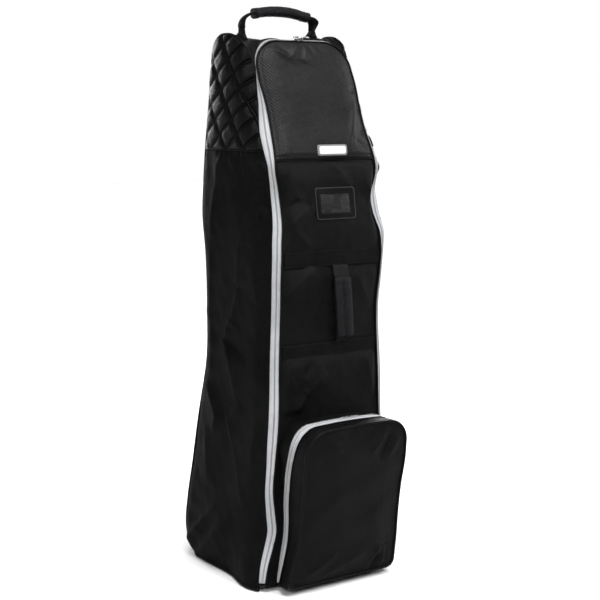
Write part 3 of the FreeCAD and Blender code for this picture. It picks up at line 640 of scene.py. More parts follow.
zip_right = smooth([(.02, .012, .012, 0), (.10, .017, .012, 0), (.40, .019, .011, 0), (.48, .020, .010, 0),
                    (.61, .019, .0115, 0), (.70, .019, .0115, 0), (.78, .019, .011, 0),
                    (.838, .0225, .004, 0),
                    (.889, .023, .001, 0), (.94, .019, .010, 0), (.981, .020, .0115, 0),
                    (1.01, .018, .0145, 0),
                    (1.04, .017, .0145, 0), (1.09, .016, .015, 0), (1.133, .0125, .0145, 0),
                    (1.167, .007, .012, .002), (1.192, .004, .010, .003)])

ARCH_Z, ARCH_WIDE, ARCH_TALL, ARCH_TOP = 1.192, .064, .0625, (0, .0105, .0062)
ZIP_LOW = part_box("case_zip_tape")[0].z


def flap_edge():
    """The flap's edge and the zip's outer edge: up the left, over the arch and down the right."""
    z = np.linspace(ZIP_LOW - .008, ARCH_Z, 220)
    q = np.linspace(0, math.pi / 2, 26)[1:]
    middle = edge_left(ARCH_Z) - ARCH_WIDE
    arc_x, arc_z = middle + ARCH_WIDE * np.cos(q), ARCH_Z + ARCH_TALL * np.sin(q)
    top = np.linspace(-middle, middle, 24)[1:-1]
    x = np.concatenate([-edge_left(z), -arc_x, top, arc_x[::-1], edge_right(z)[::-1]])
    height = np.concatenate([z, arc_z, np.full(22, arc_z[-1]), arc_z[::-1], z[::-1]])
    edge = np.column_stack([x, FACE + edge_depth(height), height])
    f = ease(q / (math.pi / 2))[:, None]
    puffed = np.sin(2 * q)[:, None]
    over = f * ARCH_TOP + puffed * (0, 0, .001)
    arc_left = zip_left(ARCH_Z) * (1 - f) + over - puffed * (.0005, 0, 0)
    arc_right = zip_right(ARCH_Z) * (1 - f) + over
    offset = np.vstack([zip_left(z), arc_left, np.tile(ARCH_TOP, (22, 1)), arc_right[::-1],
                        zip_right(z)[::-1]])
    return edge, edge + offset


EDGE, ZIP_OUT = flap_edge()
TURN_L, TURN_R = 219, 292


def zip_side(sign):
    """The zip's outer edge up one side of the case."""
    return ZIP_OUT[:TURN_L + 1] if sign < 0 else ZIP_OUT[TURN_R:][::-1]


def crown_seam(sign):
    """The piped seam between a quilted side and the crown, from the zip over the top to the back."""
    narrow = .013 if sign > 0 else 0
    points = [(.138, .106, 1.227), (.145, .115, 1.245), (.1485, .136, 1.2605), (.150, .160, 1.270),
              (.151, .185, 1.2725), (.151, .207, 1.271), (.1505, .226, 1.262), (.150, .241, 1.247),
              (.149, .249, 1.227)]
    rest = [(sign * (x - narrow), FACE + y, z) for x, y, z in points]
    return along([zip_side(sign)[-1], *rest, back_seam(SHOULDER_Z, sign)], 72)


def back_seam(z, sign):
    """Where a side panel meets the back, for one height or many."""
    z = np.asarray(z, float)
    return np.stack([sign * (side_half(z) - .009), FACE + back_depth(z) - .010, z], axis=-1)


def side_row(z, sign, count):
    """A level row of a side panel, from the zip to the back seam."""
    path = zip_side(sign)
    x, y = (np.interp(z, path[:, 2], path[:, k]) for k in range(2))
    depth, half = FACE + back_depth(z), side_half(z)
    return along([(x, y, z), (x + sign * .008, y + .020, z), (sign * half, y * .58 + depth * .42, z),
                  (sign * half, depth - .060, z), (sign * (half - .0025), depth - .026, z),
                  back_seam(z, sign)], count)


def coons(bottom, top, left, right):
    """A patch between four edges: bottom and top run with u, left and right with v."""
    u = np.linspace(0, 1, len(bottom))[None, :, None]
    v = np.linspace(0, 1, len(left))[:, None, None]
    corners = ((1 - u) * (1 - v) * bottom[0] + u * (1 - v) * bottom[-1]
               + (1 - u) * v * top[0] + u * v * top[-1])
    return (1 - v) * bottom[None] + v * top[None] + (1 - u) * left[:, None] + u * right[:, None] - corners


# ---- Sides ------------------------------------------------------------------------------------

SIDE_FOLDS = [((.182, 1.02), (.206, .90), (.05, .020), .0060),
              ((.204, .92), (.226, .80), (.05, .018), .0062),
              ((.224, .82), (.240, .60), (.04, .022), .0050),
              ((.238, .66), (.232, .44), (.03, .03), .0030),
              ((.100, .82), (.116, .70), (.016, .050), .0040),
              ((.112, .73), (.106, .655), (.030, .050), .0022),
              ((.106, .69), (.150, .60), (.012, .055), .0052),
              ((.146, .62), (.178, .55), (.012, .050), .0050),
              ((.182, .570), (.072, .516), (.010, .014), -.0062),
              ((.180, .572), (.136, .490), (.022, .012), .0058),
              ((.146, .515), (.102, .405), (.020, .040), .0055),
              ((.096, .418), (.160, .372), (.012, .020), .0036),
              ((.158, .390), (.090, .262), (.014, .045), .0042),
              ((.098, .28), (.068, .18), (.012, .040), .0036),
              ((.252, .455), (.190, .366), (.030, .009), .0066),
              ((.194, .384), (.216, .335), (.012, .012), .0044),
              ((.255, .36), (.225, .20), (.020, .030), .0040),
              ((.345, .025), (.185, .160), (.016, .012), .0062),
              ((.285, .012), (.120, .147), (.014, .016), .0050),
              ((.305, .030), (.170, .140), (.010, .010), -.0030),
              ((-.040, .170), (.045, .095), (.008, .014), -.0046),
              ((.025, .112), (.240, .000), (.012, .012), -.0040),
              ((.070, 1.004), (-.030, .930), (.010, .022), .0052),
              ((.060, 1.012), (-.020, .968), (.010, .008), -.0036),
              ((.042, .896), (-.028, .850), (.012, .008), -.0046),
              ((.046, .880), (-.020, .836), (.008, .016), .0030),
              ((.215, .853), (.095, .895), (.014, .014), .0018),
              ((.153, 1.004), (.120, .966), (.006, .008), .0034),
              ((.10, 1.000), (.085, .955), (.008, .010), .0022),
              ((.05, .77), (.03, .60), (.020, .016), .0022),
              ((.03, .45), (.045, .22), (.016, .020), .0026),
              ((.01, .62), (.02, .42), (.010, .014), -.0018)]


def side_panel(sign, side):
    """The plain cloth of a side, gathered a little under the quilting."""
    heights = np.concatenate([np.linspace(.004, .06, 18), np.linspace(.06, QUILT_Z - .001, 200)[1:]])
    grid = np.array([side_row(z, sign, 100) for z in heights])
    a, b = grid[..., 1] - FACE, grid[..., 2]
    relief = 1.3 * folds(a, b, SIDE_FOLDS) + ripple(a, b, .20, .0032, 11 + sign) + ripple(a, b, .06, .0012,
                                                                                          5)
    gather = bell(b - QUILT_Z, .02) * .0010 * np.sin(a * 210 + 2 * np.sin(a * 70))
    relief = relief * edge_fade(grid.shape, .03) + gather * ease(np.minimum(a, .3) / .03)
    grid = raised(grid, relief, (sign, 0, 0))
    grid[:, :, 2] = np.maximum(grid[:, :, 2], .003)
    panel(f"side_cloth_{side}", grid, CLOTH_SIDE, "case",
          (f"side_panel_{side}", f"front_gore_{side}"), (sign, 0, 0))


def quilt_relief(a, b):
    """Puffed diamonds between doubled stitch lines, and where each point is on their lattice."""
    down, up = np.array([-.025, -.033]), np.array([-.048, .036])
    area = down[0] * up[1] - down[1] * up[0]
    p, q = a - .135, b - 1.080
    lattice = np.stack([p * up[1] - q * up[0], down[0] * q - down[1] * p], axis=-1) / area
    flat, ridge = 1, 0
    for value, other in ((lattice[..., 0], up), (lattice[..., 1], down)):
        spacing = abs(area) / np.linalg.norm(other)
        off = np.abs(value - np.round(value)) * spacing
        flat = flat * (1 - (1 - np.clip((off - .0030) / (spacing / 2 - .0030), 0, 1)) ** 4.5)
        ridge = np.maximum(ridge, np.clip(1 - (off / .0026) ** 2, 0, 1))
    return .0058 * flat ** .8 + .0012 * ridge, lattice


def quilted_panel(sign, side):
    """The quilted cloth high on a side, flatter towards the back."""
    cols, rows = 230, 214
    bottom, path = side_row(QUILT_Z, sign, cols), zip_side(sign)
    front = respread(np.vstack([bottom[0], path[path[:, 2] > QUILT_Z + .001]]), rows)
    back_edge = back_seam(np.linspace(QUILT_Z, SHOULDER_Z, rows), sign)
    grid = coons(bottom, respread(crown_seam(sign), cols), front, back_edge)
    u, v = np.linspace(0, 1, cols)[None, :], np.linspace(0, 1, rows)[:, None]
    grid[..., 0] += (-.006 if sign < 0 else -.003) * np.sin(np.pi * u) ** .7 * np.sin(np.pi * v) ** .7
    a, b = grid[..., 1] - FACE, grid[..., 2]
    near = ease(np.minimum(np.minimum(u, 1 - u) / .022, np.minimum(v, 1 - v) / .026))
    puffs, lattice = quilt_relief(a, b)
    relief = puffs * near ** .7 * (1 - .72 * u ** 4) + ripple(a, b, .09, .0010, 21) * near
    obj = panel(f"quilt_{side}", raised(grid, relief, (sign, 0, 0)), CLOTH_QUILT, "case",
                (f"quilted_panel_{side}",), (sign, 0, 0), thick=.004)
    add_uv(obj, "diamond", lattice)


# ---- Crown and back ---------------------------------------------------------------------------

CARRY_Y = (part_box("carry_strap")[0].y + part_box("carry_strap")[1].y) / 2
CROWN_FOLDS = [((-.11, .03), (-.03, .01), .008, .0028), ((-.10, .045), (-.02, .065), .010, -.0022),
               ((.06, .045), (.01, .015), .009, .0030), ((.07, .05), (.12, .02), .010, .0026),
               ((-.06, .09), (.05, .085), .012, -.0018)]
BACK_FOLDS = [((-.16, .34), (-.05, .44), .016, .0035), ((.16, .36), (.04, .45), .016, .0035),
              ((-.10, .46), (.10, .47), .018, -.0030), ((-.15, .90), (-.11, .60), .014, .0024),
              ((.14, .95), (.12, .66), .014, .0024), ((-.15, .12), (-.08, .30), .02, .0028),
              ((.15, .12), (.09, .28), .02, .0028)]


def crown():
    """The crown's cloth between the arch of the zip, the side seams and the back."""
    cols, rows = 120, 90
    arch = respread(ZIP_OUT[TURN_L:TURN_R + 1], cols)
    left, right = respread(crown_seam(-1), rows), respread(crown_seam(1), rows)
    ridge = [(.150, 1.2590), (.180, 1.2615), (.210, 1.2605), (.236, 1.250), (.253, 1.230),
             (float(back_depth(SHOULDER_Z)), SHOULDER_Z)]
    centre = along([arch[cols // 2], *((0, FACE + y, z) for y, z in ridge)], rows)
    u = np.linspace(0, 1, cols)[None, :, None]
    v = np.linspace(0, 1, rows)[:, None, None]
    flat = left[:, None] * (1 - u) + right[:, None] * u
    residue = arch[None] - (arch[0] * (1 - u) + arch[-1] * u)
    keep = (1 - np.clip(v / .55, 0, 1)) ** 1.6
    drop = centre[:, None] - (left + right)[:, None] / 2 - keep * residue[:, [cols // 2]]
    grid = flat + keep * residue + (1 - np.abs(2 * u - 1) ** 2.6) * drop
    x, y = grid[..., 0], grid[..., 1]
    for place, high in ((-.127, .003), (.064, .0115)):
        grid[..., 2] += high * bell(x - place, .030) * bell(y - CARRY_Y, .034)
    relief = folds(x, y, CROWN_FOLDS) + ripple(x, y, .10, .0016, 31)
    grid = raised(grid, relief * edge_fade((rows, cols), .06), (0, 0, 1))
    panel("crown_cloth", grid, CLOTH_PLAIN, "case", ("top_gusset",), (0, 0, 1))
    return grid


def back_row(z, count):
    """A level row of the back."""
    left, right = back_seam(z, -1), back_seam(z, 1)
    y, half = FACE + float(back_depth(z)), float(side_half(z))
    return along([left, (-half + .020, y - .0025, z), (-half + .045, y, z), (0, y + .002, z),
                  (half - .045, y, z), (half - .020, y - .0025, z), right], count)


def back():
    """The back's cloth."""
    grid = np.array([back_row(z, 96) for z in np.linspace(.083, SHOULDER_Z - .0005, 170)])
    x, z = grid[..., 0], grid[..., 2]
    relief = ripple(x, z, .24, .0028, 41) + ripple(x, z, .07, .0006, 42) + folds(x, z, BACK_FOLDS)
    grid = raised(grid, relief * edge_fade(grid.shape, .05), (0, 1, 0))
    panel("back_cloth", grid, CLOTH_PLAIN, "case", ("back_panel",), (0, 1, 0))


def case_seams():
    """Piping round the sides, over the crown, down the back and along the shoulder and quilt seams."""
    def cord(name, path, radius):
        tube(name, path, radius, PIPING, "case", sides=8)
    for sign, side in SIDES:
        down = back_seam(np.linspace(1.2, .03, 130), sign)
        path = respread(np.vstack([crown_seam(sign), down]), 360)
        cord(f"side_piping_{side}", path + (sign * .0006, 0, .0004), .0026)
        quilt = side_row(QUILT_Z - .0005, sign, 130)
        quilt = raised(np.stack([quilt, quilt + (0, 0, .01)]), np.full((2, 130), .0006), (sign, 0, 0))[0]
        cord(f"quilt_seam_cord_{side}", quilt, .0016)
        cord(f"foot_binding_{side}", side_row(.0045, sign, 90) + (0, 0, .0008), .0032)
    cord("shoulder_piping", back_row(SHOULDER_Z - .0002, 90) + (0, .001, 0), .0022)
    cord("heel_seam_piping", back_row(.0835, 90) + (0, .001, 0), .0026)


# ---- Front flap -------------------------------------------------------------------------------

BEND = ("case", "flap", (0, FACE, HINGE_Z - .027), (0, FACE, HINGE_Z + .023))
FRONT_FOLDS = [((-.142, .866), (-.088, .900), (.010, .008), -.0052),
               ((-.100, .897), (-.050, .884), (.008, .008), -.0030),
               ((-.134, .832), (-.060, .890), (.012, .010), .0058),
               ((-.112, .834), (-.058, .788), (.012, .010), .0030),
               ((-.100, .990), (-.124, .950), (.008, .008), .0026),
               ((-.004, .992), (.040, .946), (.010, .012), .0024),
               ((.020, .982), (.125, .966), (.008, .020), .0034),
               ((.104, .94), (.122, .88), (.014, .008), .0034),
               ((-.02, .96), (.06, .93), (.016, .016), .0016),
               ((-.136, .680), (-.050, .746), (.014, .022), .0050),
               ((-.088, .732), (-.010, .756), (.008, .010), .0022),
               ((.060, .73), (.115, .64), (.014, .016), .0030),
               ((-.012, .500), (-.074, .452), (.010, .034), .0046),
               ((-.062, .464), (-.124, .370), (.010, .040), .0060),
               ((-.078, .494), (-.054, .528), (.008, .008), -.0026),
               ((.10, .53), (.128, .43), (.014, .008), .0026),
               ((-.12, .52), (-.10, .46), (.010, .012), .0022),
               ((.04, .50), (.10, .44), (.014, .018), -.0022)]
FRONT_BULGES = ((.575, .715, .748, .0060), (.76, .896, .994, .0205), (.415, .515, .545, .0085))


def front_relief(x, z):
    """How far the flap's cloth stands out from its edge line: soft bulges, folds and ripples."""
    total = ripple(x, z, .16, .0022, 51) + ripple(x, z, .05, .0008, 52) + 1.75 * folds(x, z, FRONT_FOLDS)
    for low, peak, high, height in FRONT_BULGES:
        above = np.sin(np.clip((high - z) / (high - peak), 0, 1) * math.pi / 2)
        total = total + height * np.where(z < peak, ease((z - low) / (peak - low)), above)
    across = (x + edge_left(z)) / (edge_left(z) + edge_right(z))
    near = np.minimum(np.minimum(across, 1 - across) / .07, (SEAM_Z - z) / .012)
    calm = 1 - .96 * ease((.425 - z) / .02)
    return total * ease(near) ** .8 * calm + .0032 * (1 - np.abs(np.clip(2 * across - 1, -1, 1)) ** 3)


def front_depth(x, z, lift=.0012):
    """Where something that lies lift above the flap's cloth is."""
    return FACE + edge_depth(z) - front_relief(x, z) - lift


def front_row(z, count, lift=0.0):
    """A level row of the flap's cloth, or of something that lies lift above it."""
    x = np.linspace(-float(edge_left(z)), float(edge_right(z)), count)
    return np.column_stack([x, front_depth(x, z, lift), np.full(count, z)])


def front_cloth():
    """The flap's plain cloth, which runs on behind the pocket."""
    grid = np.array([front_row(z, 110) for z in np.linspace(.012, SEAM_Z - .001, 230)])
    panel("front_cloth", grid, CLOTH_PLAIN, BEND, ("flap_panel", "pocket_wall"),
          (0, -1, 0), thick=.0018)


def dome_rows(rows, cols):
    """Rows of the dome from the seam to the top of the arch."""
    straight = np.linspace(SEAM_Z - .003, ARCH_Z, int(rows * .72), endpoint=False)
    q = np.linspace(0, math.pi / 2 * .985, rows - len(straight))
    arc = edge_left(ARCH_Z) - ARCH_WIDE + ARCH_WIDE * np.cos(q)
    z = np.concatenate([straight, ARCH_Z + ARCH_TALL * np.sin(q)])[:, None]
    left, right = (np.concatenate([edge(straight), arc])[:, None] for edge in (edge_left, edge_right))
    s = np.linspace(0, 1, cols)[None, :]
    return np.stack(np.broadcast_arrays(right * s - left * (1 - s), FACE + edge_depth(z), z), axis=-1)


DOME_FACING = (0, -1, .4)
DOME_FOLDS = [((-.094, 1.240), (-.050, 1.208), (.010, .005), .0044),
              ((-.052, 1.206), (-.012, 1.246), (.005, .010), .0040),
              ((-.074, 1.246), (-.044, 1.222), (.005, .006), -.0022),
              ((-.012, 1.200), (.006, 1.244), (.006, .012), .0040),
              ((-.034, 1.214), (-.008, 1.204), (.005, .006), .0016),
              ((.020, 1.246), (.046, 1.214), (.009, .006), .0018),
              ((.080, 1.030), (.112, 1.120), (.008, .008), .0030),
              ((.060, 1.00), (.105, 1.110), (.010, .010), .0022),
              ((.104, 1.136), (.128, 1.148), (.005, .005), -.0030),
              ((.108, 1.086), (.126, 1.100), (.005, .005), -.0030),
              ((.108, 1.040), (.126, 1.052), (.006, .006), -.0034),
              ((.085, 1.022), (.124, 1.012), (.008, .008), -.0026),
              ((-.020, 1.10), (.000, 1.00), (.020, .020), .0016),
              ((-.11, 1.06), (-.10, .995), (.010, .012), .0018)]


def dome():
    """The padded dome of heavier twill, with topstitching and a corded seam under it."""
    rows, cols = 190, 150
    grid = dome_rows(rows, cols)
    x, z = grid[..., 0], grid[..., 2]
    across = np.linspace(0, 1, cols)[None, :]
    up = np.linspace(0, 1, rows)[:, None]
    shoulder = np.sin(np.clip((1 - up) / .26, 0, 1) * math.pi / 2)
    puff = (1 - np.abs(2 * across - 1) ** 5) * ease(up / .05) * shoulder
    relief = .0185 * puff * (.78 + .22 * np.sin(np.pi * up))
    relief = relief + ease(puff * 1.6) * (1.5 * folds(x, z, DOME_FOLDS) + ripple(x, z, .13, .0014, 61)
                                          + ripple(x, z, .035, .0004, 62))
    column = np.arange(cols)[None, :]
    seam = np.minimum(column, cols - 1 - column) / cols
    relief = relief - .0010 * bell(seam - .030, .008) * ease(up / .05)
    relief = relief - .0014 * bell(z - SEAM_Z - .0068, .0016) + .0010 * bell(z - SEAM_Z - .0030, .0024)
    grid = raised(grid, relief, DOME_FACING)
    obj = panel("dome_cloth", grid, CLOTH_DOME, "flap", ("dome_panel",), DOME_FACING,
                thick=.0045)
    normals = outward(grid, DOME_FACING)
    for label, rows_of, cols_of in (("left", slice(6, 172), 5), ("right", slice(6, 172), cols - 6),
                                    ("lower", 7, slice(5, -5))):
        stitches(f"dome_topstitch_{label}", grid[rows_of, cols_of], normals[rows_of, cols_of], THREAD,
                 "flap")
    tube("dome_seam_cord", grid[0] + (0, -.0012, .0012), .0023, PIPING, "flap", sides=8)
    return grid


def coil_bead(count, radius, swell):
    """The swelling radius of a zip coil along its length."""
    return radius + swell * np.sin(np.arange(count) * math.pi / 1.5)


def zip_strips():
    """The flap's half of the zip is cloth between the case and the flap, baked in place at the hinge. The
    case's half stays.
    """
    wide = ZIP_OUT - EDGE
    normal = unit(np.cross(np.gradient(EDGE, axis=0), wide))
    hump = (.0014 - .0004 * ease((EDGE[:, 2] - 1.17) / .07))[:, None]
    t = np.linspace(0, 1, 17)
    arched = normal[:, None] * (hump * np.sin(np.pi * t))[..., None]
    surface = EDGE[:, None] + wide[:, None] * t[:, None] + arched
    for name, part, body in (("flap", surface[:, :9], BEND), ("case", surface[:, 8:], "case")):
        across = np.linalg.norm(part - part[:, :1], axis=2)
        uv = np.broadcast_arrays(across, distances(EDGE)[:, None])
        panel(f"zip_tape_{name}", part, ZIP_TAPE, body, (f"{name}_zip_tape",),
              normal[:, None], thick=.0012, lined=False, uv=uv)
    count = 2400
    fine = respread(surface[:, 8], count)
    even = np.linspace(0, 1, count)
    fine_normal = np.column_stack([np.interp(even, np.linspace(0, 1, len(normal)), column)
                                   for column in normal.T])
    side = unit(np.cross(np.gradient(fine, axis=0), fine_normal))
    shown = fine[:, 2] > ZIP_LOW - .004
    bead = coil_bead(count, .00062, .00028)[shown]
    for name, body, sign, stitch_row in (("flap", BEND, 1, 2), ("case", "case", -1, 14)):
        path = fine + side * (sign * .0009) + fine_normal * .0004
        tube(f"zip_coil_{name}", path[shown], bead, COIL, body, sides=6)
        stitches(f"zip_stitch_{name}", surface[:, stitch_row], normal, THREAD_GREY, body,
                 pitch=.0042, radius=.00032)
    tube("flap_piping_cord", respread(EDGE + normal * .0016, 520), .0025, PIPING, BEND,
         replaces=("flap_piping",))
    return surface[:, 8]


def bands():
    """Two webbing bands across the flap with stitched edges."""
    for level in ("upper", "lower"):
        low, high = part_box(f"web_band_{level}")
        row = front_row((low.z + high.z) / 2, 60, .0016)[1:-1]
        strip(f"band_{level}", row, (0, 0, 1), high.z - low.z, .0016, WEBBING, "flap",
              (f"web_band_{level}",))
        for edge, label in ((low.z + .003, "lower"), (high.z - .003, "upper")):
            line = np.column_stack([row[:, 0], row[:, 1] - .0009, np.full(len(row), edge)])
            stitches(f"band_{level}_stitch_{label}", line, (0, -1, 0), THREAD, "flap")


def wrinkles(t, angle, seed, waves, turns, height):
    """Small uneven waves over a wrapped grip, repeatable for a seed."""
    draw = np.random.default_rng(seed)
    return height * sum(draw.uniform(.3, 1) * np.sin(t[:, None] * draw.uniform(*waves)
                                                     + angle * draw.integers(1, turns) + draw.uniform(0, 6))
                        for _ in range(6))


def wrapped(line, wide, thick, across, up):
    """Loops round a line, wide one way and thick the other."""
    return (line[:, None] + np.asarray(across) * wide[..., None]
            + np.broadcast_to(up, line.shape)[:, None] * thick[..., None])


def grab_handle():
    """A webbing grab handle sewn under both bands, with a stitched wrap folded round its middle."""
    low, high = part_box("grab_handle")
    upper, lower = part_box("web_band_upper")[0].z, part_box("web_band_lower")[1].z
    x = (low.x + high.x) / 2
    left, right = x - .003, x + .008
    path = along([(left, front_depth(x, upper + .004, .0002), upper + .004),
                  (left, front_depth(x, upper - .001, .0032), upper - .001),
                  (left, FACE - .0325, high.z - .010), (x - .002, FACE - .0350, high.z - .024),
                  (x - .001, FACE - .0362, high.z - .045), (x + .002, FACE - .0366, (upper + lower) / 2),
                  (x + .006, FACE - .0350, low.z + .036), (right, FACE - .0325, low.z + .010),
                  (right, front_depth(x, lower + .002, .0038), lower + .002),
                  (right, front_depth(x, lower - .005, .0004), lower - .005)], 120)
    width = .0300 + .0120 * ease((path[:, 2] - high.z + .030) / .012)
    # The grab webbing takes the lighter webbing, whose colour carries painted sheen.
    strip("grab_webbing", path, (1, 0, 0), width, .0022, WEBBING_PAINTED_SHEEN, "flap",
          ("grab_tabs",))
    inner = respread(path[(path[:, 2] < high.z - .0215) & (path[:, 2] > low.z + .003)], 90)
    t = np.linspace(0, 1, 90)
    angle = np.linspace(0, math.tau, 64, endpoint=False)
    groove = 1 - .34 * bell(np.cos(angle), .07) * (np.sin(angle) > 0)
    end = (1 - .10 * bell(np.minimum(t, 1 - t), .012))[:, None]
    cos, sin = squarish(angle, .55)
    rough = wrinkles(t, angle, 5, (15, 70), 3, .00018)
    loops = wrapped(inner, end * (.0232 * cos) + rough, end * (.0080 * sin * groove) + rough, (1, 0, 0),
                    (0, -1, 0))
    obj = ring_piece("grab_grip_wrap", loops, CLOTH_GRIP, "flap", ("grab_handle",))
    for offset, side in ((-.0022, "left"), (.0022, "right")):
        stitches(f"grab_stitch_{side}", inner[3:-3] + (offset, -.0074, 0), (0, -1, 0), THREAD, "flap")
    for z, at, label in ((upper + .004, left, "upper"), (lower - .028, right, "lower")):
        corners = ((-1, 0), (1, 0), (1, 1), (-1, 1), (-1, 0), (1, 1))
        square = respread([(at + a * .013, 0, z + b * .024) for a, b in corners], 90)
        square[:, 1] = front_depth(square[:, 0], square[:, 2], .0034)
        stitches(f"grab_box_stitch_{label}", square, (0, -1, 0), THREAD, "flap")


def rounded_frame(x0, x1, z0, z1, radius):
    """The outline of a rounded rectangle in the flap's plane."""
    points = []
    for cx, cz, start in ((x1 - radius, z1 - radius, 0), (x0 + radius, z1 - radius, 90),
                          (x0 + radius, z0 + radius, 180), (x1 - radius, z0 + radius, 270)):
        q = np.radians(start + np.linspace(0, 90, 10))
        points.append(np.column_stack([cx + radius * np.cos(q), cz + radius * np.sin(q)]))
    return np.vstack(points)


def plate(name, outline, depth_at, thick, material, replaces=(), soft=.0006):
    """A thin plate on the flap with softened edges, from an outline of (x, z) and a depth for each point."""
    centre = outline.mean(axis=0)
    length = np.linalg.norm(outline - centre, axis=1)[:, None]
    loops = []
    for shrink, out in ((0, 0), (0, thick - soft), (soft * .4, thick - soft * .3), (soft * 1.4, thick)):
        x, z = (centre + (outline - centre) * (1 - shrink / length)).T
        loops.append(np.column_stack([x, depth_at(x, z) - out, z]))
    return ring_piece(name, loops, material, "flap", replaces)


def identity_pocket():
    """A vinyl frame with a clear window and a blank card."""
    low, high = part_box("card_frame")
    outer = rounded_frame(low.x, high.x, low.z, high.z, .006)
    inner = rounded_frame(low.x + .013, high.x - .013, low.z + .013, high.z - .013, .003)

    def between(f):
        return outer * (1 - f) + inner * f

    def loop(outline, out):
        x, z = outline.T
        return np.column_stack([x, front_depth(x, z) - out, z])
    section = ((0, -.0012), (0, .0008), (.07, .0016), (.45, .0021), (.9, .0017), (1, .0010), (1, -.0006))
    ring_piece("card_frame_vinyl", [loop(between(f), out) for f, out in section], VINYL, "flap",
               ("card_frame",), capped=False)
    welt = loop(outer, .0010)
    tube("card_frame_welt", respread(np.vstack([welt, welt[:1]]), 150)[:-1], .0010, VINYL_EDGE, "flap",
         sides=7, closed=True)
    for f, label in ((.14, "outer"), (.86, "inner")):
        line = loop(np.vstack([between(f), between(f)[:1]]), .0018)
        stitches(f"card_frame_stitch_{label}", respread(line, 160), (0, -1, 0), THREAD, "flap",
                 pitch=.0036)
    middle = inner.mean(axis=0)
    plate("card_window_film", inner * .99 + middle * .01, lambda x, z: front_depth(x, z, .0008), .0008,
          FILM, ("card_window",))
    plate("name_card_blank", inner * .985 + middle * .015, lambda x, z: front_depth(x, z, -.0004), .0006,
          CARD, ("name_card",))


def badge(dome_grid):
    """A blank badge with a raised rim and a plain inset field, flat on the dome."""
    low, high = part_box("badge")
    outline = rounded_frame(low.x - .007, high.x - .007, low.z + .001, high.z + .001, .006)
    x, y, z = np.moveaxis(dome_grid, -1, 0)
    near = (z > low.z - .01) & (z < high.z + .02) & (x > low.x - .01) & (x < high.x + .01)
    plane = np.column_stack([x[near], z[near], np.ones(near.sum())])
    slope = np.linalg.lstsq(plane, y[near], rcond=None)[0]

    def depth(lift):
        return lambda x, z: slope[0] * x + slope[1] * z + slope[2] - lift
    plate("badge_rim", outline, depth(.0008), .0046, BADGE, ("badge",), soft=.0009)
    centre = outline.mean(axis=0)
    plate("badge_field", centre + (outline - centre) * (.88, .70), depth(.0052), .0009, BADGE_INSET,
          soft=.0004)


# ---- Shoe pocket ------------------------------------------------------------------------------

POCKET_LOW, POCKET_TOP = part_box("pocket_face")[0].z - .003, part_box("pocket_face")[1].z
POCKET_ROUND = .058
POCKET_LEAN = .009
pocket_left = smooth([(.018, .147), (.05, .143), (.08, .138), (.12, .131), (.16, .130), (.21, .134),
                      (.275, .138), (.334, .141)])
pocket_right = smooth([(.018, .148), (.087, .146), (.158, .142), (.228, .141), (.30, .144), (.334, .142)])
face_depth = smooth([(.0, -.068), (.018, -.070), (.10, -.084), (.20, -.100), (.30, -.117), (.392, -.1315)])
band_back = smooth([(.0, .000), (.06, -.011), (.14, -.017), (.22, -.026), (.30, -.043), (.345, -.058),
                    (.395, -.056)])
band_front = smooth([(.0, -.019), (.065, -.031), (.145, -.037), (.228, -.048), (.306, -.067), (.345, -.082),
                     (.395, -.086)])


def pocket_outline(count=260, lean=0.0):
    """The pocket's arch as (x, z): up the left, over the top and down the right."""
    centre_z = POCKET_TOP - POCKET_ROUND
    z = np.linspace(POCKET_LOW + .001, centre_z, 90)
    left = np.column_stack([-pocket_left(z) - lean * ease((.27 - z) / .2), z])
    right = np.column_stack([pocket_right(z), z])[::-1]
    q = np.linspace(0, math.pi / 2, 40)[1:]
    arc = POCKET_ROUND * np.column_stack([np.cos(q), np.sin(q)])
    left_x, right_x = -pocket_left(centre_z) + POCKET_ROUND, pocket_right(centre_z) - POCKET_ROUND
    top = np.column_stack([np.linspace(left_x, right_x, 60)[1:-1],
                           POCKET_TOP + .0022 * np.sin(np.linspace(0, math.pi, 58))])
    return respread(np.vstack([left, (left_x, centre_z) + arc * (-1, 1), top,
                               ((right_x, centre_z) + arc)[::-1], right]), count)


def pocket_outward(outline):
    """The outward direction, in the flap's plane, along the pocket's outline."""
    run = unit(np.gradient(outline, axis=0))
    return np.column_stack([-run[:, 1], run[:, 0]])


def pocket_ring(depths, swell=0.0, lean=0.0):
    """Points round the pocket at depths behind the flap, swollen outwards by swell."""
    outline = pocket_outline(lean=lean)
    x, z = (outline + pocket_outward(outline) * np.broadcast_to(swell, len(outline))[:, None]).T
    return np.column_stack([x, FACE + depths, np.maximum(z, POCKET_LOW)])


def from_middle(grid):
    """Directions from the middle of the pocket to the points of a grid."""
    return grid - (0, grid[..., 1].mean(), .2)


def pocket_wall(name, start, end, bulge, wave, phase, body, node, lean=0.0):
    """A wall of the pocket between two depths, gathered along its length."""
    count = len(start)
    gathers = np.linspace(0, 1, count)
    gathers = np.sin(gathers * 63 + 3 * np.sin(gathers * 17 + phase))
    rows = []
    for f in np.linspace(0, 1, 40):
        swell = math.sin(math.pi * f) * (bulge + wave * gathers)
        rows.append(pocket_ring(start * (1 - f) + end * f, swell, lean * f))
    grid = np.array(rows)
    panel(name, grid, CLOTH_PLAIN, body, (node,), from_middle(grid))


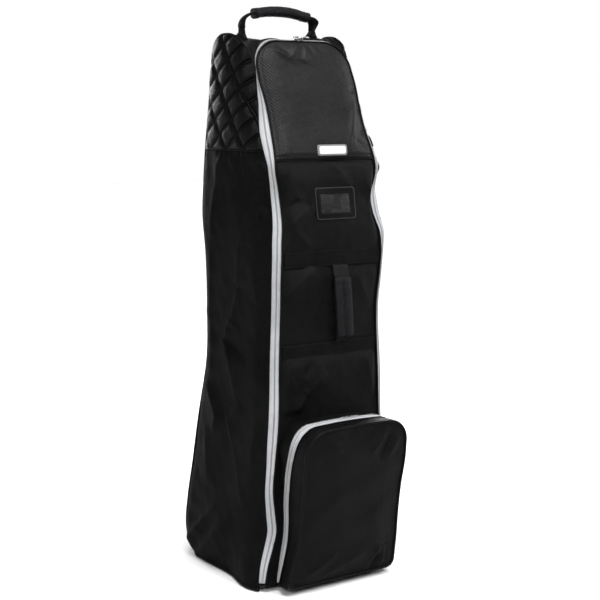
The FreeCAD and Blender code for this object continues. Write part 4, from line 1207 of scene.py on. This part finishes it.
def pocket_walls():
    """The pocket's back and front walls with the zip between them."""
    outline = pocket_outline()
    z = outline[:, 1]
    back_edge, front_edge = band_back(z), band_front(z)
    pocket_wall("pocket_back_cloth", np.full(len(z), -.0005), back_edge, .0015, .0012, 1, "case",
                "pocket_back_gusset")
    pocket_wall("pocket_front_cloth", front_edge, face_depth(z) + .002, .0028, .0011, 2, "pocket_cover",
                "pocket_front_gusset", POCKET_LEAN)
    mid = (back_edge + front_edge) / 2
    for side, body, sign, edge, start in (("back", "case", 1, back_edge, 0),
                                          ("front", "pocket_cover", -1, front_edge, .5)):
        rows = []
        for g in np.linspace(start, start + .5, 9):
            swell = .0012 * math.sin(math.pi * g) + .0008
            rows.append(pocket_ring(back_edge * (1 - g) + front_edge * g, swell))
        grid = np.array(rows)
        uv = np.broadcast_arrays(np.linalg.norm(grid - grid[:1], axis=2), distances(outline))
        panel(f"pocket_zip_{side}", grid, ZIP_TAPE, body, (f"pocket_tape_{side}",),
              from_middle(grid), thick=.0012, lined=False, uv=uv)
        coil = respread(pocket_ring(mid + sign * .0009, .0022), 760)
        tube(f"pocket_coil_{side}", coil, coil_bead(760, .0006, .00026), COIL, body,
             sides=6)
        line = pocket_ring(edge - sign * .003, .0024)
        x, z_out = pocket_outward(line[:, [0, 2]]).T
        stitches(f"pocket_zip_stitch_{side}", line, np.column_stack([x, 0 * x, z_out]), THREAD_GREY, body,
                 pitch=.0042, radius=.00032)
        cord = respread(pocket_ring(edge + sign * .0022, .0016), 300)
        tube(f"pocket_cord_{side}", cord, .0013, PIPING, body, sides=7)


FACE_FOLDS = [((.040, .325), (.084, .382), (.010, .008), .0046),
              ((.066, .305), (.100, .372), (.008, .008), -.0044),
              ((.092, .308), (.118, .356), (.008, .007), .0040),
              ((.030, .348), (.054, .388), (.007, .007), -.0030),
              ((-.060, .386), (-.034, .362), (.007, .007), .0036),
              ((-.010, .386), (.016, .370), (.007, .007), .0030),
              ((-.090, .380), (-.048, .338), (.008, .008), .0032),
              ((-.046, .358), (-.004, .388), (.007, .007), -.0026),
              ((-.128, .345), (-.100, .318), (.008, .008), .0022),
              ((.118, .300), (.138, .322), (.007, .007), .0024),
              ((-.134, .028), (-.026, .096), (.012, .018), .0046),
              ((-.140, .010), (.055, .078), (.010, .020), .0042),
              ((-.02, .062), (.05, .022), (.012, .012), -.0028),
              ((.062, .014), (.098, .086), (.008, .007), .0056),
              ((.080, .022), (.094, .064), (.006, .007), -.0100),
              ((.108, .018), (.112, .084), (.008, .006), .0080),
              ((.124, .024), (.112, .092), (.006, .006), -.0044),
              ((.136, .020), (.128, .070), (.006, .006), .0034),
              ((.10, .10), (.05, .18), (.020, .030), .0022), ((-.12, .17), (-.02, .24), (.03, .03), .0018)]


def pocket_face():
    """The pocket's front: a crowned panel with pinched corners and a piped edge."""
    outline = pocket_outline(241, POCKET_LEAN)
    corner = .020
    q = np.linspace(0, math.pi / 2, 12)[1:-1]
    foot_l = np.column_stack([outline[0, 0] + corner * (1 - np.cos(q)),
                              POCKET_LOW + corner * (1 - np.sin(q))])
    foot_r = np.column_stack([outline[-1, 0] - corner * (1 - np.sin(q)),
                              POCKET_LOW + corner * (1 - np.cos(q))])
    arch = outline[outline[:, 1] > POCKET_LOW + corner]
    rows, cols = 170, 130
    heights = POCKET_LOW + (POCKET_TOP + .002 - POCKET_LOW) * np.linspace(0.0015, .9985, rows)
    peak = np.argmax(arch[:, 1])
    edges = []
    for start, foot, side in ((foot_l[-1, 0], foot_l[::-1], arch[:peak + 1]),
                              (foot_r[0, 0], foot_r, arch[peak:][::-1])):
        line = np.vstack([[(start, POCKET_LOW)], foot, side])
        line = line[np.argsort(line[:, 1], kind="stable")]
        edges.append(np.interp(heights, line[:, 1], line[:, 0])[:, None])
    left, right = edges
    s = np.linspace(0, 1, cols)[None, :]
    x, z = np.broadcast_arrays(left * (1 - s) + right * s, heights[:, None])
    grid = np.stack([x, FACE + face_depth(z), z], axis=-1)
    v = np.linspace(0, 1, rows)[:, None]
    lift = (1 - np.abs(2 * s - 1) ** 4) * (1 - np.abs(2 * v - 1) ** 6)
    relief = .0085 * lift + (1.4 * folds(x, z, FACE_FOLDS) + ripple(x, z, .13, .0024, 71)) * lift ** .6
    rim = np.minimum(np.minimum(s, 1 - s) * (right - left), np.minimum(z - POCKET_LOW, POCKET_TOP - z))
    relief += .0009 * bell(rim, .012) * np.sin((x + z) * 300 + 2 * np.sin(x * 60)) * lift
    obj = panel("pocket_face_cloth", raised(grid, relief, (0, -1, 0)), CLOTH_PLAIN, "pocket_cover",
                ("pocket_face",), (0, -1, 0), thick=.004)
    bottom = np.column_stack([np.linspace(foot_r[0, 0], foot_l[-1, 0], 90), np.full(90, POCKET_LOW)])
    x, z = np.vstack([arch, foot_r[::-1], bottom, foot_l, arch[:1]]).T
    path = respread(np.column_stack([x, FACE + face_depth(z) - .0004, z]), 420)[:-1]
    tube("pocket_face_piping", path, .0030, PIPING, "pocket_cover", sides=9, closed=True)


def pocket_floor():
    """The pocket's bottom cloth, drooping a little between its edges."""
    depth = np.linspace(.0005, .0685, 40)[:, None]
    s = np.linspace(0, 1, 60)[None, :]
    x = (float(pocket_right(.018)) - .001) * s - (float(pocket_left(.018)) - .001) * (1 - s)
    droop = -.0012 * np.sin(math.pi * depth / .0685) * (1 - np.abs(2 * s - 1) ** 4)
    grid = np.stack(np.broadcast_arrays(x, FACE - depth, POCKET_LOW - .0005 + droop), axis=-1)
    grid[..., 2] += ripple(grid[..., 0], grid[..., 1], .07, .0006, 81)
    panel("pocket_floor_cloth", grid, CLOTH_PLAIN, "case", ("pocket_bottom",),
          (0, 0, -1))


# ---- Zip sliders ------------------------------------------------------------------------------

def basis(run, normal):
    """Three square directions: along a run, across it and out of it."""
    run, normal = Vector(run).normalized(), Vector(normal)
    side = normal.cross(run).normalized()
    return run, side, run.cross(side)


def slider(name, seat, run, normal, pivot, body, node):
    """A zip slider: two plates joined by a neck, with a bail that the pull hangs on."""
    axes = basis(run, normal)
    seat, reach, ahead, up = Vector(seat), Vector(pivot), axes[0], axes[2]
    parts = [block("plate", seat + up * h, axes, (.0085, w, .0011), .0004, .28)
             for h, w in ((.0020, .0066), (-.0010, .0062))]
    parts.append(block("neck", seat + ahead * -.003 + up * .0006, axes, (.003, .0022, .0040), .0004))
    start, end = (seat + ahead * (sign * .0036) + up * .0024 for sign in (-1, 1))
    bail = along([start, start * .35 + reach * .65 - ahead * .0008, reach + up * .0006,
                  end * .35 + reach * .65 + ahead * .0008, end], 30)
    parts.append(tube("bail", bail, .00075, None, None, sides=8))
    joined(name, parts, SILVER, body, (node,))


def pull(name, node, pivot, body, lie, flat_normal, length):
    """A flat pull tab: a neck at the bail, a waisted blade with grip bars and a rounded end with a rim."""
    run, side, up = (np.array(a) for a in basis(lie, flat_normal))
    start = np.array(pivot)
    profile = [(-.0018, .0012), (-.0010, .0019), (.0010, .0021), (.0035, .0014), (.0060, .0013),
               (length * .55, .0019), (length - .005, .0025), (length - .0020, .0024),
               (length - .0005, .0014)]
    half = along(profile, 40)
    outline = np.vstack([half, (half * (1, -1))[::-1]])
    centre = np.array((length * .45, 0))
    loops = []
    for shrink, h in ((.94, -.0007), (1.0, -.0004), (1.0, .0004), (.94, .0007)):
        points = centre + (outline - centre) * (1 - (1 - shrink) * .5, shrink)
        loops.append(start + run * points[:, :1] + side * points[:, 1:] + up * h)
    turn = np.linspace(0, math.tau, len(outline), endpoint=False)[:, None]
    rim = start + run * (length - .0042) + (run * np.cos(turn) + side * np.sin(turn)) * .0014 + up * .0008
    parts = [ring_piece("blade", loops, None, None),
             tube("rim", rim, .00032, None, None, sides=6, closed=True)]
    for k in range(4):
        middle = start + run * (.0070 + k * .0019)
        bar = [middle - side * .0012 + up * .0008, middle + up * .0009, middle + side * .0012 + up * .0008]
        parts.append(tube("bar", bar, .00030, None, None, sides=6))
    joined(name, parts, SILVER, body, (node,))


def zip_fittings(middle):
    """The sliders and pull tabs of both zips, on the straight top of each."""
    top = middle[TURN_L + 27:TURN_R - 25]
    for sign, side in SIDES:
        low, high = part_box(f"main_slider_{side}")
        seat = np.array([np.interp((low.x + high.x) / 2, top[:, 0], column) for column in top.T])
        tab_low, tab_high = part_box(f"main_pull_{side}")
        pivot = (sign * (min(abs(tab_low.x), abs(tab_high.x)) + .0024), (tab_low.y + tab_high.y) / 2,
                 (tab_low.z + tab_high.z) / 2)
        slider(f"main_zip_slider_{side}", seat + (0, -.0006, .0010), (sign, 0, 0), (0, -.5, .87), pivot,
               f"main_runner_{side}", f"main_slider_{side}")
        pull(f"main_zip_pull_{side}", f"main_pull_{side}", pivot, f"main_tab_{side}", (sign, 0, 0),
             (0, -.85, .5), .0190)
        low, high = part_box(f"pocket_slider_{side}")
        seat = ((low.x + high.x) / 2, (low.y + high.y) / 2, POCKET_TOP + .0035)
        tab_low, tab_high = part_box(f"pocket_pull_{side}")
        tip = .022 + sign * .0048
        pivot = (tip, (tab_low.y + tab_high.y) / 2, (tab_low.z + tab_high.z) / 2)
        slider(f"pocket_zip_slider_{side}", seat, (sign, 0, 0), (0, 0, 1), (tip, seat[1], pivot[2] + .0008),
               f"pocket_runner_{side}", f"pocket_slider_{side}")
        pull(f"pocket_zip_pull_{side}", f"pocket_pull_{side}", pivot, f"pocket_tab_{side}", (sign, 0, 0),
             (0, 0, 1), .0200)


# ---- Carry handle -----------------------------------------------------------------------------

CARRY_PATH = [(-.1275, 1.2845), (-.1285, 1.292), (-.1235, 1.306), (-.110, 1.3155), (-.088, 1.3205),
              (-.055, 1.3250), (-.022, 1.3258), (.012, 1.3232), (.044, 1.3165), (.0625, 1.3125),
              (.0715, 1.3035), (.0690, 1.2925), (.0660, 1.2845)]


def carry_tab(crown_grid, place, lean):
    """A sewn tab that rises from the crown to one end of the carry loop."""
    def height(x, y):
        d = (crown_grid[..., 0] - x) ** 2 + (crown_grid[..., 1] - y) ** 2
        return crown_grid[..., 2][np.unravel_index(np.argmin(d), d.shape)]
    base = height(place, CARRY_Y)
    cx, cy = squarish(np.linspace(0, math.tau, 28, endpoint=False), .6)
    loops = []
    for f, half_x, half_y, h in ((0, .0090, .0165, .0005), (.15, .0088, .0163, .0022),
                                 (.35, .0060, .0150, .0050),
                                 (.7, .0034, .0135, .0095), (.9, .0026, .0130, max(1.2835 - base, .011)),
                                 (1, .0020, .0124, max(1.2848 - base, .0125))):
        foot = np.array([height(place + half_x * a, CARRY_Y + half_y * b) for a, b in zip(cx, cy)])
        loops.append(np.column_stack([place + lean * f * .4 + half_x * cx, CARRY_Y + half_y * cy,
                                      foot * (1 - f) + base * f + h]))
    return ring_piece("tab", loops, None, None)


def carry_handle(crown_grid):
    """A webbing loop with a wrapped, flared grip, on two sewn tabs."""
    path = along([(x, CARRY_Y, z) for x, z in CARRY_PATH], 150)
    q = np.linspace(0, 1, 150)
    width = .022 + .007 * bell(q - .03, .05) + .021 * bell(q - .90, .075)
    strip("carry_webbing", path, (0, 1, 0), width, .0030, WEBBING, "carry_loop",
          ("carry_strap",), crown=.0022, cols=11)
    span = (path[:, 0] > -.0955) & (path[:, 0] < .0530) & (path[:, 2] > 1.30)
    inner = respread(path[span], 110)
    t = np.linspace(0, 1, 110)
    tangent = unit(np.gradient(inner, axis=0))
    across = np.array((0, 1, 0))
    up = np.cross(tangent, across)
    up *= np.sign(up[:, 2:3])
    flare = np.exp(-(t / .060) ** 4) * .0016 + np.exp(-((1 - t) / .035) ** 4) * .0010
    wide = (.0152 + .0010 * np.sin(math.pi * t) + flare)[:, None]
    tall = (.0106 + .0014 * np.sin(math.pi * t) + flare)[:, None]
    angle = np.linspace(0, math.tau, 56, endpoint=False)
    crease = 1 - .10 * bell(angle - math.radians(250), .10)
    cos, sin = squarish(angle, .82)
    rough = wrinkles(t, angle, 3, (20, 90), 4, .00016)
    loops = wrapped(inner, wide * (cos * crease) + rough, tall * (sin * crease) + rough, across, up)
    first = inner[0] + (loops[0] - inner[0]) * .90 - tangent[0] * .0006
    last = inner[-1] + (loops[-1] - inner[-1]) * .90 + tangent[-1] * .0006
    loops = np.concatenate([[first], loops, [last]])
    obj = ring_piece("carry_grip_wrap", loops, CLOTH_GRIP, "carry_loop", ("carry_grip",))
    for at, label in ((9, "left"), (101, "right")):
        out = loops[at] - inner[at]
        ring = loops[at] + unit(out) * .0004
        stitches(f"grip_stitch_{label}", respread(np.vstack([ring, ring[:1]]), 140),
                 respread(np.vstack([out, out[:1]]), 140), THREAD, "carry_loop", pitch=.0036)
    tabs = [carry_tab(crown_grid, place, lean) for place, lean in ((-.1275, -.003), (.0660, .003))]
    joined("carry_tabs_cloth", tabs, WEBBING_SEWN, "case", ("carry_tabs",))


# ---- Base and wheels --------------------------------------------------------------------------

def base_cloth():
    """The cloth under the base."""
    low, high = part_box("base_panel")
    x = np.linspace(-1, 1, 60)[None, :] * (side_half(.004) - .004)
    y = np.linspace(low.y, high.y, 50)[:, None]
    grid = np.stack(np.broadcast_arrays(x, y, low.z + .0004), axis=-1)
    grid[..., 2] += np.abs(ripple(grid[..., 0], grid[..., 1], .08, .0012, 91))
    panel("base_cloth", grid, CLOTH_PLAIN, "case", ("base_panel",), (0, 0, -1))


def heel_guard():
    """The moulded heel between the sides, ribbed, with an opening for each wheel."""
    low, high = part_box("heel_guard")
    z = np.concatenate([np.linspace(high.z, .030, 26),
                        .030 - .026 * np.sin(np.linspace(0, math.pi / 2, 14)[1:])])
    depth = FACE + back_depth(z) - .005
    bottom = np.linspace(depth[-1], low.y, 22)[1:]
    y = np.concatenate([depth, bottom])[:, None]
    z = np.concatenate([z, np.full(21, .0038)])[:, None]
    grid = np.stack(np.broadcast_arrays((side_half(z) - .0125) * np.linspace(-1, 1, 150), y, z), axis=-1)
    across = np.abs(grid[..., 0])
    ribs = sum(bell(grid[..., 2] - at, .0022) for at in (.066, .054, .042, .030)) * .0022
    pad = .0022 * ease((across - .152) / .006) * (grid[..., 2] > .012)
    grid = raised(grid, ribs * ease((.094 - across) / .006) + pad, (0, 1, -.3))
    faces = grid_faces(*grid.shape[:2])
    x, y, z = grid.reshape(-1, 3)[faces].mean(axis=1).T
    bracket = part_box("wheel_bracket_right")
    opening = (np.abs(x) > bracket[0].x - .001) & (np.abs(x) < bracket[1].x + .001) & (z < .078) & (y > .162)
    obj = new_mesh("heel_moulding", grid, faces[~opening])
    face_outwards(obj)
    modify(obj, "SOLIDIFY", thickness=.0028, offset=0)
    modify(obj, "BEVEL", width=.0006, segments=2, limit_method="ANGLE")
    finish_piece(obj, GUARD, "case", ("heel_guard",))


def revolve(name, profile, centre, steps, groove=0.0):
    """A closed profile of (x, radius) turned round an axle along x. The groove is cut from its radii."""
    angle = np.linspace(0, math.tau, steps, endpoint=False)[:, None]
    x, radius = np.array(profile, float).T
    radius = radius - groove
    verts = np.stack(np.broadcast_arrays(centre[0] + x, centre[1] + radius * np.cos(angle),
                                         centre[2] + radius * np.sin(angle)), axis=-1)
    obj = new_mesh(name, verts, ring_faces(steps, len(x), closed=True))
    face_outwards(obj)
    return obj


def wheel(side):
    """A grooved tyre on a hub with six spokes."""
    low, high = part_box(f"wheel_tyre_{side}")
    hub_low, hub_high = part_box(f"wheel_hub_{side}")
    centre = (low + high) / 2
    outer, rim, half = (high.z - low.z) / 2, (hub_high.z - hub_low.z) / 2, (high.x - low.x) / 2
    edge = math.radians(62)
    q = np.linspace(-edge, edge, 19)
    rise = (np.cos(q) - math.cos(edge)) / (1 - math.cos(edge))
    tread = np.column_stack([half * .98 * np.sin(q) / math.sin(edge), outer - .0042 + .0042 * rise])
    wall = [(half, rim + .004), (half * .94, rim + .001), (half * .9, rim), (-half * .9, rim),
            (-half * .94, rim + .001), (-half, rim + .004)]
    x, radius = np.vstack([tread, wall]).T
    groove = .0009 * (bell(x - .0035, .0006) + bell(x + .0035, .0006)) * (radius > outer - .0045)
    tyre = revolve(f"tyre_{side}", np.column_stack([x, radius]), centre, 120, groove)
    finish_piece(tyre, TYRE, f"{side}_wheel", (f"wheel_tyre_{side}",))
    bore, web = .0112, half * .45
    section = [(half, 0), (half, .0050), (half - .0012, .0062), (web, .0070)]
    section = [(x, bore + r) for x, r in section] + [(web, rim - .0052), (half - .0015, rim - .0045),
                                                     (half, rim - .0035), (half, rim)]
    parts = [revolve("ring", [(-x, r) for x, r in section[::-1]] + section, centre, 96)]
    axle = Vector((1, 0, 0))
    for k in range(6):
        turn = k * math.tau / 6
        out = Vector((0, math.cos(turn), math.sin(turn)))
        parts.append(block("spoke", centre + out * ((bore + rim + .002) / 2), (out, out.cross(axle), axle),
                           (rim - bore - .009, .0042, half * 1.72), .0007))
    joined(f"hub_{side}", parts, HUB, f"{side}_wheel", (f"wheel_hub_{side}",))


def shown_cad():
    """CAD nodes whose shape is right keep it, with a finer material."""
    for material, nodes in ((STEEL,
                             ("axle_left", "axle_right", "wheel_bearings_left", "wheel_bearings_right")),
                            (GUARD, ("wheel_bracket_left", "wheel_bracket_right", "base_studs")),
                            (BOARD, ("base_board",)),
                            (BUCKLE, ("lower_buckle_socket", "upper_buckle_socket", "lower_buckle_tongue",
                                      "upper_buckle_tongue"))):
        for node in nodes:
            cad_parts[node].data.materials.clear()
            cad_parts[node].data.materials.append(material)


# ---- Inside -----------------------------------------------------------------------------------

def inner_straps():
    """Two straps with buckles. Each strap's two halves hang a little."""
    for name in ("upper_strap", "lower_strap"):
        low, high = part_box(name)
        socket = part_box(name.replace("strap", "buckle_socket"))
        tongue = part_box(name.replace("strap", "buckle_tongue"))
        y, z = (low.y + high.y) / 2, (low.z + high.z) / 2
        sag = .003 * np.sin(math.pi * np.linspace(0, 1, 40))
        halves = [strip("half", np.column_stack([np.linspace(start, end, 40), np.full(40, y), z - sag]),
                        (0, 0, 1), high.z - low.z, .0018, WEBBING, None)
                  for start, end in ((low.x, socket[0].x + .004), (high.x, tongue[1].x - .002))]
        joined(f"{name}_webbing", halves, WEBBING, "case", (name,))


def back_pad():
    """The lining-covered back pad with sewn channels."""
    low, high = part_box("back_foam")
    v, u = np.linspace(0, 1, 150)[:, None], np.linspace(0, 1, 70)[None, :]
    edge = (np.clip(np.minimum(u, 1 - u) / .07, 0, 1) * np.clip(np.minimum(v, 1 - v) / .03, 0, 1)) ** .5
    channel = np.abs(np.sin(np.pi * v * 6)) ** .35
    y = high.y - .001 - (high.y - low.y - .001) * edge * (.45 + .55 * channel)
    grid = np.stack(np.broadcast_arrays(low.x + (high.x - low.x) * u, y, low.z + (high.z - low.z) * v),
                    axis=-1)
    panel("back_pad_cloth", grid, LINING, "case", ("back_foam",), (0, -1, 0),
                    thick=.0012, lined=False)


# ---- Studio -----------------------------------------------------------------------------------

def area_light(name, place, aim, size, power):
    data = bpy.data.lights.new(name, "AREA")
    data.shape, data.size, data.size_y, data.energy = "RECTANGLE", *size, power
    obj = bpy.data.objects.new(name, data)
    bpy.context.scene.collection.objects.link(obj)
    obj.location = place
    obj.rotation_euler = (Vector(aim) - Vector(place)).to_track_quat("-Z", "Y").to_euler()


def far_light(name, direction, power, spread):
    data = bpy.data.lights.new(name, "SUN")
    data.energy, data.angle = power, math.radians(spread)
    obj = bpy.data.objects.new(name, data)
    bpy.context.scene.collection.objects.link(obj)
    obj.rotation_euler = Vector(direction).to_track_quat("Z", "Y").to_euler()


def studio():
    bpy.context.scene.view_settings.view_transform = "Standard"
    bpy.ops.mesh.primitive_plane_add(size=30, location=(0, 0, -.0002))
    floor = bpy.context.object
    floor.name = "floor"
    paper = moulded("floor_paper", (.51, .51, .51), (.54, .54, .54), (.7, .8), .00005, 200.0)
    floor.data.materials.append(paper)
    world = bpy.data.worlds.new("studio")
    bpy.context.scene.world = world
    world.use_nodes = True
    tree = world.node_tree
    direction = tree.nodes.new("ShaderNodeTexCoord")
    split = tree.nodes.new("ShaderNodeSeparateXYZ")
    glow = tree.nodes.new("ShaderNodeMapRange")
    tree.links.new(direction.outputs["Generated"], split.inputs["Vector"])
    tree.links.new(split.outputs["Z"], glow.inputs["Value"])
    for key, value in {"From Min": 0.08, "From Max": 0.18, "To Min": 1.0, "To Max": 0.10}.items():
        glow.inputs[key].default_value = value
    tree.links.new(glow.outputs["Result"], tree.nodes["Background"].inputs["Strength"])
    tree.nodes["Background"].inputs["Color"].default_value = (1, 1, 1, 1)
    far_light("key_left", (-.50, -.70, .52), 1.9, 14)
    far_light("key_right", (.22, -.62, .75), 2.9, 16)
    far_light("key_above", (-.05, -.22, .97), 4.6, 26)
    area_light("behind", (.3, 2.9, 1.8), (0, .2, .7), (1.2, 1.6), 60)
    area_light("right_behind", (2.4, 2.0, 1.7), (0, 0, .7), (1.0, 1.6), 45)
    area_light("left_side", (-2.6, -1.2, 1.5), (0, 0, .7), (.8, 1.4), 16)
    area_light("right_side", (2.9, -.4, 1.9), (0, 0, .7), (.8, 1.4), 30)


def camera():
    data = bpy.data.cameras.new("camera")
    data.sensor_width, data.lens = 36, 80.82
    data.clip_end = 60
    obj = bpy.data.objects.new("camera", data)
    bpy.context.scene.collection.objects.link(obj)
    obj.location = (-1.802, -2.618, 1.107)
    obj.rotation_euler = (math.radians(90 - 8.16), 0, math.radians(-34.61))
    bpy.context.scene.camera = obj


# ---- Build ------------------------------------------------------------------------------------

for sign_of, side_name in SIDES:
    side_panel(sign_of, side_name)
    quilted_panel(sign_of, side_name)
    wheel(side_name)
CROWN = crown()
back()
case_seams()
front_cloth()
ZIP_MIDDLE = zip_strips()
DOME = dome()
bands()
grab_handle()
identity_pocket()
badge(DOME)
pocket_walls()
pocket_face()
pocket_floor()
zip_fittings(ZIP_MIDDLE)
carry_handle(CROWN)
base_cloth()
heel_guard()
shown_cad()
inner_straps()
back_pad()
studio()
camera()

bpy.context.view_layer.update()
